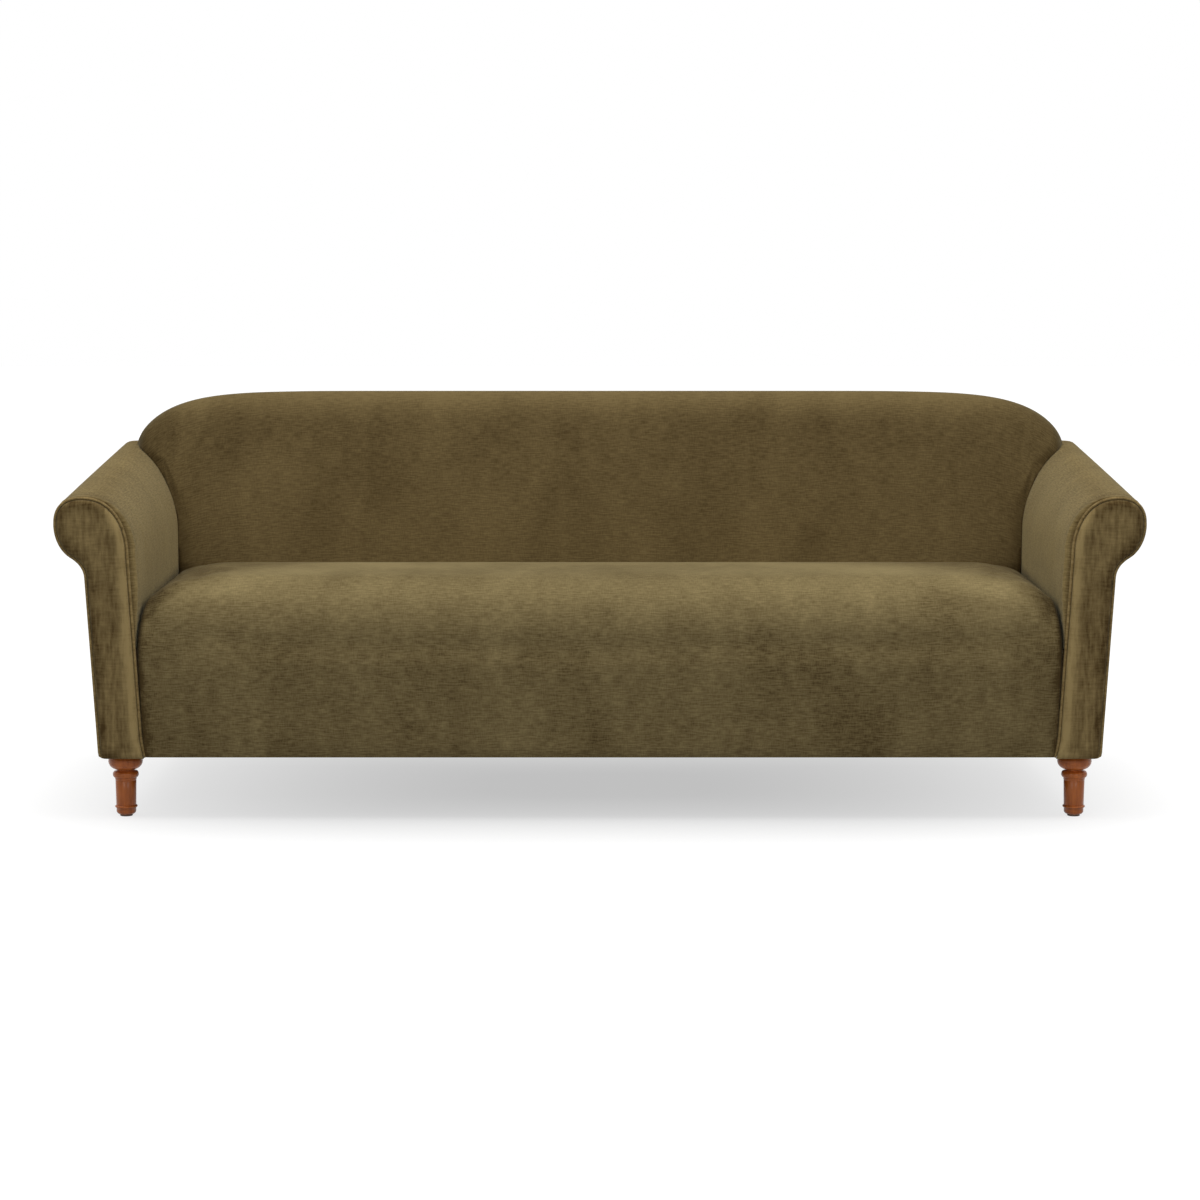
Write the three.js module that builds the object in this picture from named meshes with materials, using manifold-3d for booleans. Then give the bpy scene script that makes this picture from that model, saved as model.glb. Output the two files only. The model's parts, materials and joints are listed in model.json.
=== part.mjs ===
// English roll arm sofa: camelback, tight seat and tight back, turned front and rear legs.
// Millimetres, +Z up, front faces -Y, origin on the floor under the middle of the sofa.
import * as THREE from "three";
import { mergeVertices } from "three/addons/utils/BufferGeometryUtils.js";
import Module from "manifold-3d";

const wasm = await Module();
wasm.setup();

// Overall sizes
const WIDTH = 2200;
const DEPTH = 880;
const LEG_HEIGHT = 130;
const BODY_HEIGHT = 712;

// Clearances: between touching pieces, and the length by which a cutting tool runs past its work
const GAP = 0.3;
const OVERRUN = 60;

// Arm section: leaning wall, rolled crest and neck
const ARM_THICKNESS = 93;
const ARM_LEAN_SHARE = 0.058;
const ARM_CLIMB = 66;
const ARM_OVER_SHOULDER = 6;
const ROLL_RADIUS = 58;
const ROLL_RISE = 56;
const ROLL_DROP = 75;
const ROLL_OVERHANG = 54;
const ROLL_FRONT_POWER_SHARE = 2.4;
const ROLL_REAR_POWER_SHARE = 3.6;
const CREST_SHIFT = 11;
const SHOULDER_CLIMB = 122;
const SHOULDER_FRONT_POWER_SHARE = 2.2;
const SHOULDER_REAR_POWER_SHARE = 1.5;
const NECK_FILLET = 25;
const NECK_ANGLE = THREE.MathUtils.degToRad(65);

// Arm upholstery
const FACING_THICKNESS = 14;
const WELT_RADIUS = 3;
const INNER_PADDING = 24;
const ROLL_PADDING = 20;
const OUTSIDE_PANEL = 6;

// Back: camelback outline, raked face, top roll and raked outside
const BACK_SIDE_INSET = 48;
const BACK_SHOULDER_DROP = 122;
const CAMEL_SIDE_POWER_SHARE = 10.9;
const CAMEL_TOP_POWER_SHARE = 1.5;
const FACE_RAKE_SHARE = 0.372;
const REAR_RAKE_SHARE = 0.01;
const BACK_CROWN = 12;
const CROWN_SIDE_POWER_SHARE = 4;
const TOP_ROLL_FRONT = 60;
const TOP_ROLL_REAR = 45;
const TOP_ROLL_SETBACK = 70;
const SHOULDER_ROOT = 90;
const FACE_SEAM_SHARE = 0.2;
const BACK_THICKNESS = 240;
const OUTSIDE_BACK_THICKNESS = 8;

// Seat: tight pad with a front border that runs down to the bottom edge
const SEAT_CREST = 356;
const SEAT_BACK_HEIGHT = 333;
const SEAT_SIDE_FRONT = 278;
const SEAT_SIDE_REAR = 305;
const SEAT_SIDE_ROUNDING = 88;
const SEAT_ROLL_DEPTH = 105;
const SEAT_ROLL_HEIGHT = 115;
const BORDER_THICKNESS = 25;
const BORDER_SETBACK = 6;

// Hardwood frame
const BOARD = 26;
const STUMP_THICKNESS = 32;
const POST_THICKNESS = 28;
const RAIL_TOP = 218;
const REAR_RAIL_HEIGHT = 150;
const REAR_RAIL_SETBACK = 39;
const BOTTOM_RAIL_HEIGHT = 66;
const BRACE_HEIGHT = 62;
const BRACE_DROP = 20;
const BRACE_SPACING = 700;
const BLOCK_LEG = 118;
const BLOCK_THICKNESS = 32;
const TACK_RAIL_HEIGHT = 44;
const TACK_RAIL_THICKNESS = 30;
const BACK_TACK_HEIGHT = 56;
const BACK_TACK_THICKNESS = 20;
const TOP_RAIL_DROP = 112;
const TOP_RAIL_COVER = 34;
const TENON_WIDTH = 50;
const RIB_COUNT = 4;
const RIB_FROM_POST = 172;
const RIB_HEAD_DEPTH = 13;
const WEBBING_THICKNESS = 3;
const WEBBING_MARGIN = 40;

// Zigzag seat springs
const SPRING_COUNT = 6;
const SPRING_FROM_END_RAIL = 281;
const SPRING_WIRE = 1.9;
const SPRING_WIDTH = 44;
const SPRING_WAVES = 8;

// Bottom cloth
const DUST_COVER_THICKNESS = 1.3;

// Turned leg: radii and heights above the floor
const LEG_FROM_OUTSIDE = 46.5;
const LEG_FROM_FRONT = 70;
const LEG_FROM_REAR_POST = 17;
const LEG_BUN_RADIUS = 35;
const LEG_BUN_HEIGHT = 33;
const LEG_BUN_TOP_ANGLE = THREE.MathUtils.degToRad(60);
const LEG_NECK_RADIUS = 16.5;
const LEG_COLLAR_RADIUS = 26.5;
const LEG_COLLAR_HEIGHT = 17;
const LEG_SHAFT_TOP_RADIUS = 21.5;
const LEG_SHAFT_FOOT_RADIUS = 20.3;
const LEG_RING_RADIUS = 23;
const LEG_RING_HEIGHT = 5;
const LEG_RING_LEVEL = 20;
const LEG_FOOT_RADIUS = 20;
const LEG_FOOT_ROUNDING = 7;

// Leg hardware: hanger bolt, tee nut and nail glide
const BOLT_RADIUS = 4;
const BOLT_IN_LEG = 38;
const BOLT_ABOVE_BLOCK = 14;
const NUT_FLANGE_RADIUS = 11;
const NUT_FLANGE_THICKNESS = 1.6;
const NUT_BARREL_RADIUS = 5.6;
const NUT_BARREL_LENGTH = 12;
const GLIDE_RADIUS = 13;
const GLIDE_THICKNESS = 3.5;
const GLIDE_PIN_RADIUS = 1.6;
const GLIDE_PIN_LENGTH = 14;

// Counts of facets
const ARM_STATIONS = 6;
const SHOULDER_STEPS = 9;
const ROLL_STEPS = 5;
const NECK_STEPS = 3;
const CAMEL_STEPS = 12;
const SEAT_STEPS = 7;
const FACING_STEPS = 3;
const TOP_ROLL_STEPS = 4;
const SEAT_ROLL_STEPS = 6;
const TURNING_STEPS = 4;
const FOOT_STEPS = 2;
const LEG_SIDES = 18;
const HARDWARE_SIDES = 12;
const WELT_SIDES = 6;
const SPRING_SIDES = 4;
const RAIL_SPAN_SHARES = [0.22, 0.74];

// Materials
function finish(color, roughness, metalness) {
  return new THREE.MeshStandardMaterial({ color, roughness, metalness });
}

const velvet = () => finish(0x7d7150, 0.85, 0);
const hardwood = () => finish(0xb08a5c, 0.7, 0);
const turnedWood = () => finish(0x7d4626, 0.4, 0);
const steel = () => finish(0x9a9a98, 0.35, 1);
const jute = () => finish(0xa08a62, 0.95, 0);
const blackCloth = () => finish(0x2a2826, 0.95, 0);
const nylon = () => finish(0x35302c, 0.5, 0);

// Derived levels and lines, all above the underside of the body
const FRONT = -DEPTH / 2;
const ARM_FRONT = FRONT + FACING_THICKNESS + GAP;
const CREST_X = WIDTH / 2 - ROLL_RADIUS;
const BACK_SHOULDER = BODY_HEIGHT - BACK_SHOULDER_DROP;
const ARM_HEIGHT = BACK_SHOULDER + ARM_OVER_SHOULDER - ARM_CLIMB;
const SHOULDER_START = ARM_HEIGHT - SHOULDER_CLIMB;
const ROLL_CENTRE = ARM_HEIGHT - ROLL_RISE;
const TOP_RAIL_UNDERSIDE = BODY_HEIGHT - TOP_RAIL_DROP;
const BORDER_FRONT = FRONT + BORDER_SETBACK;
const SPRING_LEVEL = RAIL_TOP + GAP + SPRING_WIRE;
const DECK = SPRING_LEVEL + SPRING_WIRE + GAP;
const FRAME_FOOT = DUST_COVER_THICKNESS + GAP;
const BACK_HALF = WIDTH / 2 - BACK_SIDE_INSET;
const PADDED_POST_INSET = {
  inner: INNER_PADDING + GAP,
  roll: ROLL_PADDING + GAP,
  outer: OUTSIDE_PANEL + GAP,
};

const lerp = THREE.MathUtils.lerp;
const clamp = THREE.MathUtils.clamp;
const outerX = (z) => WIDTH / 2 - ROLL_OVERHANG - (ROLL_CENTRE - z) * ARM_LEAN_SHARE;
const innerX = (z) => outerX(z) - ARM_THICKNESS;
const rearY = (z) => DEPTH / 2 - (BODY_HEIGHT - TOP_ROLL_REAR - z) * REAR_RAKE_SHARE;
const postRearY = (z) => rearY(z) - OUTSIDE_BACK_THICKNESS - GAP;
const postFrontY = (z) => postRearY(z) - POST_THICKNESS;
const SEAT_BACK_Y = rearY(SEAT_BACK_HEIGHT) - BACK_THICKNESS;
const faceY = (z) => SEAT_BACK_Y + Math.max(0, z - SEAT_BACK_HEIGHT) * FACE_RAKE_SHARE;
const frontRailFace = BORDER_FRONT + BORDER_THICKNESS + GAP;
const rearRailFace = SEAT_BACK_Y + REAR_RAIL_SETBACK;
const ribFootY = rearRailFace + BOARD + GAP;
const ribHeadY = postFrontY(TOP_RAIL_UNDERSIDE) - RIB_HEAD_DEPTH;
const ribY = (z) => lerp(ribFootY, ribHeadY, (z - RAIL_TOP) / (TOP_RAIL_UNDERSIDE - RAIL_TOP));
const roundOff = (share) => 1 - Math.sqrt(1 - clamp(share, 0, 1) ** 2);

// Height of the camelback outline at a distance from the middle: a superellipse over the shoulder level
function camelTop(x) {
  const side = clamp(Math.abs(x) / BACK_HALF, 0, 1) ** CAMEL_SIDE_POWER_SHARE;
  return BACK_SHOULDER + BACK_SHOULDER_DROP * (1 - side) ** (1 / CAMEL_TOP_POWER_SHARE);
}

// Stations across the back, close together where the shoulders turn down
function camelStations() {
  const side = [];
  for (let i = 0; i < CAMEL_STEPS; i++) {
    side.push(BACK_HALF * Math.cos((i / CAMEL_STEPS) * (Math.PI / 2)) ** (2 / CAMEL_SIDE_POWER_SHARE));
  }
  return [...side.map((x) => -x), 0, ...side.reverse()];
}

// Height of the straight line between the two stations beside a place
function camelEdge(x) {
  const places = camelStations();
  const i = clamp(places.findIndex((place) => place >= x), 1, places.length - 1);
  const [left, right] = [places[i - 1], places[i]];
  return lerp(camelTop(left), camelTop(right), (x - left) / (right - left));
}

// The stations between two places, with the places themselves
function camelPlaces(from, to) {
  return [from, ...camelStations().filter((x) => x > from && x < to), to];
}

// Geometry helpers

// Joins vertices that share a place, so that a solid is closed by index
function welded(geometry) {
  geometry.deleteAttribute("normal");
  geometry.deleteAttribute("uv");
  return mergeVertices(geometry);
}

function solid(geometry) {
  const joined = welded(geometry.clone());
  const vertProperties = new Float32Array(joined.attributes.position.array);
  const triVerts = new Uint32Array(joined.index.array);
  return new wasm.Manifold(new wasm.Mesh({ numProp: 3, vertProperties, triVerts }));
}

function geometryOf(body) {
  const mesh = body.getMesh();
  const geometry = new THREE.BufferGeometry();
  geometry.setAttribute("position", new THREE.BufferAttribute(new Float32Array(mesh.vertProperties), 3));
  geometry.setIndex(Array.from(mesh.triVerts));
  return geometry;
}

// A skin through loops of equally many points, with a flat lid on the first and on the last loop
function loft(loops, flatten) {
  const count = loops[0].length;
  const index = [];
  for (let i = 0; i + 1 < loops.length; i++) {
    for (let j = 0; j < count; j++) {
      const k = (j + 1) % count;
      const [a, b, c, d] = [i * count + j, i * count + k, (i + 1) * count + k, (i + 1) * count + j];
      index.push(a, b, c, a, c, d);
    }
  }
  const flat = loops[0].map(flatten);
  const lid = THREE.ShapeUtils.triangulateShape(flat, []);
  const covered = lid.reduce((sum, corners) => sum + THREE.ShapeUtils.area(corners.map((i) => flat[i])), 0);
  const same = Math.sign(covered) === Math.sign(THREE.ShapeUtils.area(flat));
  const last = (loops.length - 1) * count;
  for (const [a, b, c] of lid) {
    const [p, q] = same ? [b, c] : [c, b];
    index.push(a, q, p, last + a, last + p, last + q);
  }
  const geometry = new THREE.BufferGeometry().setFromPoints(loops.flat());
  geometry.setIndex(index);
  return signedVolume(geometry) < 0 ? flipped(geometry) : geometry;
}

function signedVolume(geometry) {
  const place = geometry.attributes.position;
  const [a, b, c] = [new THREE.Vector3(), new THREE.Vector3(), new THREE.Vector3()];
  let sum = 0;
  for (let i = 0; i < geometry.index.count; i += 3) {
    a.fromBufferAttribute(place, geometry.index.getX(i));
    b.fromBufferAttribute(place, geometry.index.getX(i + 1));
    c.fromBufferAttribute(place, geometry.index.getX(i + 2));
    sum += a.dot(b.cross(c));
  }
  return sum;
}

function flipped(geometry) {
  const order = geometry.index.array;
  for (let i = 0; i < order.length; i += 3) [order[i], order[i + 1]] = [order[i + 1], order[i]];
  return geometry;
}

function mirrored(geometry) {
  return flipped(welded(geometry.clone()).applyMatrix4(new THREE.Matrix4().makeScale(-1, 1, 1)));
}

const onXZ = (p) => new THREE.Vector2(p.x, p.z);
const onYZ = (p) => new THREE.Vector2(p.y, p.z);

// A board whose outline lies in the XZ plane, between two Y faces that may lean with height
function boardXZ(outline, frontFace, rearFace) {
  const loop = (face) => outline.map(([x, z]) => new THREE.Vector3(x, face(z), z));
  return loft([loop(frontFace), loop(rearFace)], onXZ);
}

// A board whose outline lies in the YZ plane, between two X faces that may lean with height
function boardYZ(outline, nearFace, farFace) {
  const loop = (face) => outline.map(([y, z]) => new THREE.Vector3(face(z), y, z));
  return loft([loop(nearFace), loop(farFace)], onYZ);
}

// A route that turns at each of its points, so that a cord keeps to every corner of its line
class Route extends THREE.Curve {
  constructor(points) {
    super();
    this.points = points;
  }

  getPointAt(u) {
    const place = u * (this.points.length - 1);
    const i = Math.min(Math.floor(place), this.points.length - 2);
    return this.points[i].clone().lerp(this.points[i + 1], place - i);
  }

  getTangentAt(u) {
    const i = Math.round(u * (this.points.length - 1));
    const way = (from, to) => new THREE.Vector3().subVectors(this.points[to], this.points[from]).normalize();
    const last = this.points.length - 1;
    const before = way(Math.max(i - 1, 0), Math.max(i, 1));
    return before.add(way(Math.min(i, last - 1), Math.min(i + 1, last))).normalize();
  }
}

function cordThrough(points, radius, sides) {
  const ring = Array.from({ length: sides }, (_, i) => (i / sides) * 2 * Math.PI);
  const rim = ring.map((a) => new THREE.Vector2(radius * Math.cos(a), radius * Math.sin(a)));
  const section = new THREE.Shape(rim);
  const options = { extrudePath: new Route(points), steps: points.length - 1, bevelEnabled: false };
  return new THREE.ExtrudeGeometry(section, options);
}

const level = (value) => () => value;
const shifted = (line, by) => (z) => line(z) + by;

// Arm section at a share t of the way from the front to the rear, set in from the outside by three amounts:
// up the inner wall, over the shoulder and the roll, round the neck to the outer wall
function armCrest(t, inset, foot) {
  const crest = new THREE.Vector2(CREST_X + CREST_SHIFT * t, ARM_HEIGHT + ARM_CLIMB * t);
  const centre = crest.y - ROLL_RISE;
  const power = lerp(SHOULDER_FRONT_POWER_SHARE, SHOULDER_REAR_POWER_SHARE, t);
  const reach = crest.x - innerX(SHOULDER_START) - inset.inner;
  const climb = crest.y - SHOULDER_START - inset.roll;
  const points = [[innerX(foot) + inset.inner, foot]];
  for (let i = 0; i < SHOULDER_STEPS; i++) {
    const angle = (i / SHOULDER_STEPS) * (Math.PI / 2);
    const across = reach * Math.cos(angle) ** (2 / power);
    points.push([crest.x - across, SHOULDER_START + climb * Math.sin(angle) ** (2 / power)]);
  }
  const wide = WIDTH / 2 - crest.x - inset.roll;
  const fullness = lerp(ROLL_FRONT_POWER_SHARE, ROLL_REAR_POWER_SHARE, t);
  for (let i = 0; i < ROLL_STEPS; i++) {
    const angle = (i / ROLL_STEPS) * (Math.PI / 2);
    const rise = (ROLL_RISE - inset.roll) * Math.cos(angle) ** (2 / fullness);
    points.push([crest.x + wide * Math.sin(angle) ** (2 / fullness), centre + rise]);
  }
  const drop = ROLL_DROP - inset.roll;
  for (let i = 0; i < ROLL_STEPS; i++) {
    const angle = (i / ROLL_STEPS) * NECK_ANGLE;
    points.push([crest.x + wide * Math.cos(angle), centre - drop * Math.sin(angle)]);
  }
  return points.concat(neck(new THREE.Vector2(crest.x, centre), wide, drop, inset.outer));
}

// The hollow curve from the underside of the roll into the outer wall
function neck(centre, wide, drop, inset) {
  const reach = new THREE.Vector2(wide * Math.cos(NECK_ANGLE), -drop * Math.sin(NECK_ANGLE));
  const start = reach.add(centre);
  const slope = (drop * Math.cos(NECK_ANGLE)) / (wide * Math.sin(NECK_ANGLE));
  const wall = outerX(start.y) - inset;
  const corner = new THREE.Vector2(wall, start.y - (start.x - wall) * slope);
  const end = new THREE.Vector2(outerX(corner.y - NECK_FILLET) - inset, corner.y - NECK_FILLET);
  const curve = new THREE.QuadraticBezierCurve(start, corner, end);
  return curve.getPoints(NECK_STEPS).map((p) => [p.x, p.y]);
}

const NO_INSET = { inner: 0, roll: 0, outer: 0 };
const neckEnd = (t) => armCrest(t, NO_INSET, 0).at(-1)[1];

// Whole arm outline, closed along a foot level
function armOutline(t, inset, foot) {
  return armCrest(t, inset, foot).concat([[outerX(foot) - inset.outer, foot]]);
}

// Y of an arm station at a height: the rear end follows the rake of the back
const armY = (t, z) => lerp(ARM_FRONT, postRearY(z), t);
const ARM_LENGTH = postRearY(ROLL_CENTRE) - ARM_FRONT;
const STUMP_SHARE = STUMP_THICKNESS / ARM_LENGTH;
const POST_SHARE = 1 - POST_THICKNESS / ARM_LENGTH;
const behindStump = (z) => armY(STUMP_SHARE, z) + GAP;
const beforePost = (z) => armY(POST_SHARE, z) - GAP;

function armLoft(shares, outline) {
  return loft(shares.map((t) => outline(t).map(([x, z]) => new THREE.Vector3(x, armY(t, z), z))), onXZ);
}

const stations = (from, to, steps) => Array.from({ length: steps + 1 }, (_, i) => lerp(from, to, i / steps));

// Full arm, a clearance larger than the real one and run past the back, to cut the back cushion
function armEnvelope() {
  const grown = { inner: -GAP, roll: -GAP, outer: -GAP };
  const past = OVERRUN / (postRearY(0) - ARM_FRONT);
  const shares = [...stations(0, 1, ARM_STATIONS), 1 + past];
  return solid(armLoft(shares, (t) => armOutline(t, grown, 0)));
}

// Pieces of the arm, made for the side at +X

// Padded cover: up the inner wall, over the roll and into the neck, hooked round the frame
function armPad() {
  const lining = { inner: INNER_PADDING, roll: ROLL_PADDING, outer: OUTSIDE_PANEL };
  const foot = RAIL_TOP + GAP;
  const hook = armLoft(stations(0, 1, ARM_STATIONS), (t) => {
    const outside = armCrest(t, NO_INSET, foot);
    const inside = armCrest(t, lining, foot);
    const last = inside.at(-1);
    const end = outside.at(-1)[1];
    const lip = [[outerX(end) - OUTSIDE_PANEL, end], ...(last[1] > end ? [last] : [])];
    return outside.concat(lip, inside.reverse().slice(1));
  });
  return geometryOf(solid(hook).subtract(solid(postTenon(GAP))));
}

// Front panel of the arm: rings of the arm outline, drawn in towards a domed face
function armFacing() {
  const edge = 2 * WELT_RADIUS + GAP;
  const rounding = FACING_THICKNESS - WELT_RADIUS;
  const rings = [[0, 0]];
  for (let i = 0; i <= FACING_STEPS; i++) {
    const angle = (i / FACING_STEPS) * (Math.PI / 2);
    rings.push([rounding * (1 - Math.cos(angle)), WELT_RADIUS + rounding * Math.sin(angle)]);
  }
  return loft(rings.map(([draw, out]) => {
    const inset = { inner: edge + draw, roll: edge + draw, outer: edge + draw };
    const y = FRONT + FACING_THICKNESS - out;
    return armOutline(0, inset, draw).map(([x, z]) => new THREE.Vector3(x, y, z));
  }), onXZ);
}

// Corded edge round the facing, from the bottom of the inner edge over the roll and down the outer edge
function armPiping() {
  const inset = { inner: WELT_RADIUS, roll: WELT_RADIUS, outer: WELT_RADIUS };
  const line = armOutline(0, inset, 0);
  const y = FRONT + FACING_THICKNESS - WELT_RADIUS;
  return cordThrough(line.map(([x, z]) => new THREE.Vector3(x, y, z)), WELT_RADIUS, WELT_SIDES);
}

function outsideArm() {
  const [low, high] = [neckEnd(0) - GAP, neckEnd(1) - GAP];
  const outline = [[ARM_FRONT, 0], [postRearY(0), 0], [postRearY(high), high], [ARM_FRONT, low]];
  return boardYZ(outline, shifted(outerX, -OUTSIDE_PANEL), outerX);
}

// Front stump: the scroll-shaped board that the facing covers
function armPost() {
  return armLoft([0, STUMP_SHARE], (t) => armOutline(t, PADDED_POST_INSET, FRAME_FOOT));
}

// The part of the back post that rises through the roll into the shoulder of the back
function postTenon(grow) {
  const near = innerX(SHOULDER_START) + INNER_PADDING + GAP;
  const [low, high] = [near - grow, near + TENON_WIDTH + grow];
  const top = camelPlaces(low, high).map((x) => [x, camelEdge(x) - TOP_RAIL_COVER - GAP + grow]);
  const outline = [[low, SHOULDER_START], [high, SHOULDER_START], ...top.reverse()];
  return boardXZ(outline, shifted(postFrontY, -grow), shifted(postRearY, grow));
}

function backPost() {
  const scroll = armLoft([POST_SHARE, 1], (t) => armOutline(t, PADDED_POST_INSET, FRAME_FOOT));
  return geometryOf(solid(scroll).add(solid(postTenon(0))));
}

// Shaped wooden rail that fills the roll between the stump and the back post
function armRail() {
  const clear = GAP / ARM_LENGTH;
  const between = stations(0, 1, ARM_STATIONS).slice(1, -1);
  const shares = [STUMP_SHARE + clear, ...between, POST_SHARE - clear];
  const inset = { ...PADDED_POST_INSET, roll: ROLL_PADDING + 3 * GAP };
  return armLoft(shares, (t) => {
    const crest = armCrest(t, inset, FRAME_FOOT);
    const [first, last] = RAIL_SPAN_SHARES.map((share) => Math.round(share * (crest.length - 1)));
    return crest.slice(first, last + 1);
  });
}

// Outline of a board that fills the length between the stump and the back post
function betweenPosts(foot, head) {
  const low = [[behindStump(foot), foot], [beforePost(foot), foot]];
  return low.concat([[beforePost(head), head], [behindStump(head), head]]);
}

function armTackRail() {
  const foot = RAIL_TOP + GAP;
  const outline = betweenPosts(foot, foot + TACK_RAIL_HEIGHT);
  const near = shifted(innerX, INNER_PADDING + GAP);
  return boardYZ(outline, near, shifted(near, TACK_RAIL_THICKNESS));
}

// Frame of the seat
const endRailOuter = () => outerX(FRAME_FOOT) - OUTSIDE_PANEL - GAP;
const endRailInner = () => endRailOuter() - BOARD;

function endRail() {
  return boardYZ(betweenPosts(FRAME_FOOT, RAIL_TOP), endRailInner, endRailOuter);
}

// Outline of a rail from post to post, whose ends lean with the arms
function acrossPosts(foot, head) {
  const end = (z) => innerX(z) + INNER_PADDING;
  return [[-end(foot), foot], [end(foot), foot], [end(head), head], [-end(head), head]];
}

function frontRail() {
  return boardXZ(acrossPosts(FRAME_FOOT, RAIL_TOP), level(frontRailFace), level(frontRailFace + BOARD));
}

function rearRail() {
  const end = endRailInner() - GAP;
  const foot = RAIL_TOP - REAR_RAIL_HEIGHT;
  const outline = [[-end, foot], [end, foot], [end, RAIL_TOP], [-end, RAIL_TOP]];
  return boardXZ(outline, level(rearRailFace), level(rearRailFace + BOARD));
}

function backBottomRail() {
  return boardXZ(acrossPosts(FRAME_FOOT, FRAME_FOOT + BOTTOM_RAIL_HEIGHT), postFrontY, postRearY);
}

function seatBrace(x) {
  const foot = RAIL_TOP - REAR_RAIL_HEIGHT + BRACE_DROP;
  const [front, rear] = [frontRailFace + BOARD + GAP, rearRailFace - GAP];
  const outline = [[front, foot], [rear, foot], [rear, foot + BRACE_HEIGHT], [front, foot + BRACE_HEIGHT]];
  return boardYZ(outline, level(x - BOARD / 2), level(x + BOARD / 2));
}

// Places of the legs on the side at +X
const LEG_X = outerX(0) - LEG_FROM_OUTSIDE;
const legRows = [
  { place: "front", y: FRONT + LEG_FROM_FRONT, corner: frontRailFace + BOARD + GAP, toward: 1 },
  { place: "rear", y: postFrontY(0) - LEG_FROM_REAR_POST, corner: postFrontY(FRAME_FOOT) - GAP, toward: -1 },
];

// Three-cornered block glued into a corner of the seat frame, bored for the tee nut
function cornerBlock({ y, corner, toward }) {
  const x = endRailInner() - GAP;
  const outline = new THREE.Shape([
    new THREE.Vector2(x, corner),
    new THREE.Vector2(x, corner + toward * BLOCK_LEG),
    new THREE.Vector2(x - BLOCK_LEG, corner),
  ]);
  outline.holes.push(circle(LEG_X, y, NUT_BARREL_RADIUS + GAP));
  const block = new THREE.ExtrudeGeometry(outline, { depth: BLOCK_THICKNESS, bevelEnabled: false });
  return block.translate(0, 0, FRAME_FOOT);
}

function circle(x, y, radius) {
  const ring = Array.from({ length: HARDWARE_SIDES }, (_, i) => (i / HARDWARE_SIDES) * 2 * Math.PI);
  const rim = ring.map((a) => new THREE.Vector2(x + radius * Math.cos(a), y + radius * Math.sin(a)));
  return new THREE.Path(rim);
}

// Back frame

// Profile-cut upright: narrow head under the top rail, deep foot behind the rear rail
function backRib(x) {
  const notch = FRAME_FOOT + BOTTOM_RAIL_HEIGHT + GAP;
  const head = TOP_RAIL_UNDERSIDE - GAP;
  const outline = [
    [ribFootY, FRAME_FOOT], [postFrontY(FRAME_FOOT) - GAP, FRAME_FOOT], [postFrontY(notch) - GAP, notch],
    [postRearY(notch), notch], [postRearY(head), head], [ribY(head), head], [ribFootY, RAIL_TOP],
  ];
  return boardYZ(outline, level(x - BOARD / 2), level(x + BOARD / 2));
}

const tackFoot = DECK + GAP;
const tackFront = (z) => ribY(z) - GAP - BACK_TACK_THICKNESS;

function backTackRail() {
  const end = innerX(tackFoot) - GAP;
  const head = tackFoot + BACK_TACK_HEIGHT;
  const outline = [[-end, tackFoot], [end, tackFoot], [end, head], [-end, head]];
  return boardXZ(outline, tackFront, shifted(ribY, -GAP));
}

// Distance from the middle to the outer ribs, set off from the posts at each end
const ribReach = () => innerX(SHOULDER_START) + INNER_PADDING - RIB_FROM_POST;

function backWebbing() {
  const end = ribReach() + WEBBING_MARGIN;
  const foot = tackFoot + BACK_TACK_HEIGHT + GAP;
  const head = TOP_RAIL_UNDERSIDE;
  const outline = [[-end, foot], [end, foot], [end, head], [-end, head]];
  return boardXZ(outline, shifted(ribY, -GAP - WEBBING_THICKNESS), shifted(ribY, -GAP));
}

function backTopRail() {
  const end = innerX(SHOULDER_START) + INNER_PADDING;
  const top = camelPlaces(-end, end).map((x) => [x, camelEdge(x) - TOP_RAIL_COVER - GAP]);
  const outline = [[-end, TOP_RAIL_UNDERSIDE], [end, TOP_RAIL_UNDERSIDE], ...top.reverse()];
  return boardXZ(outline, postFrontY, postRearY);
}

// Soft pieces

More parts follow.
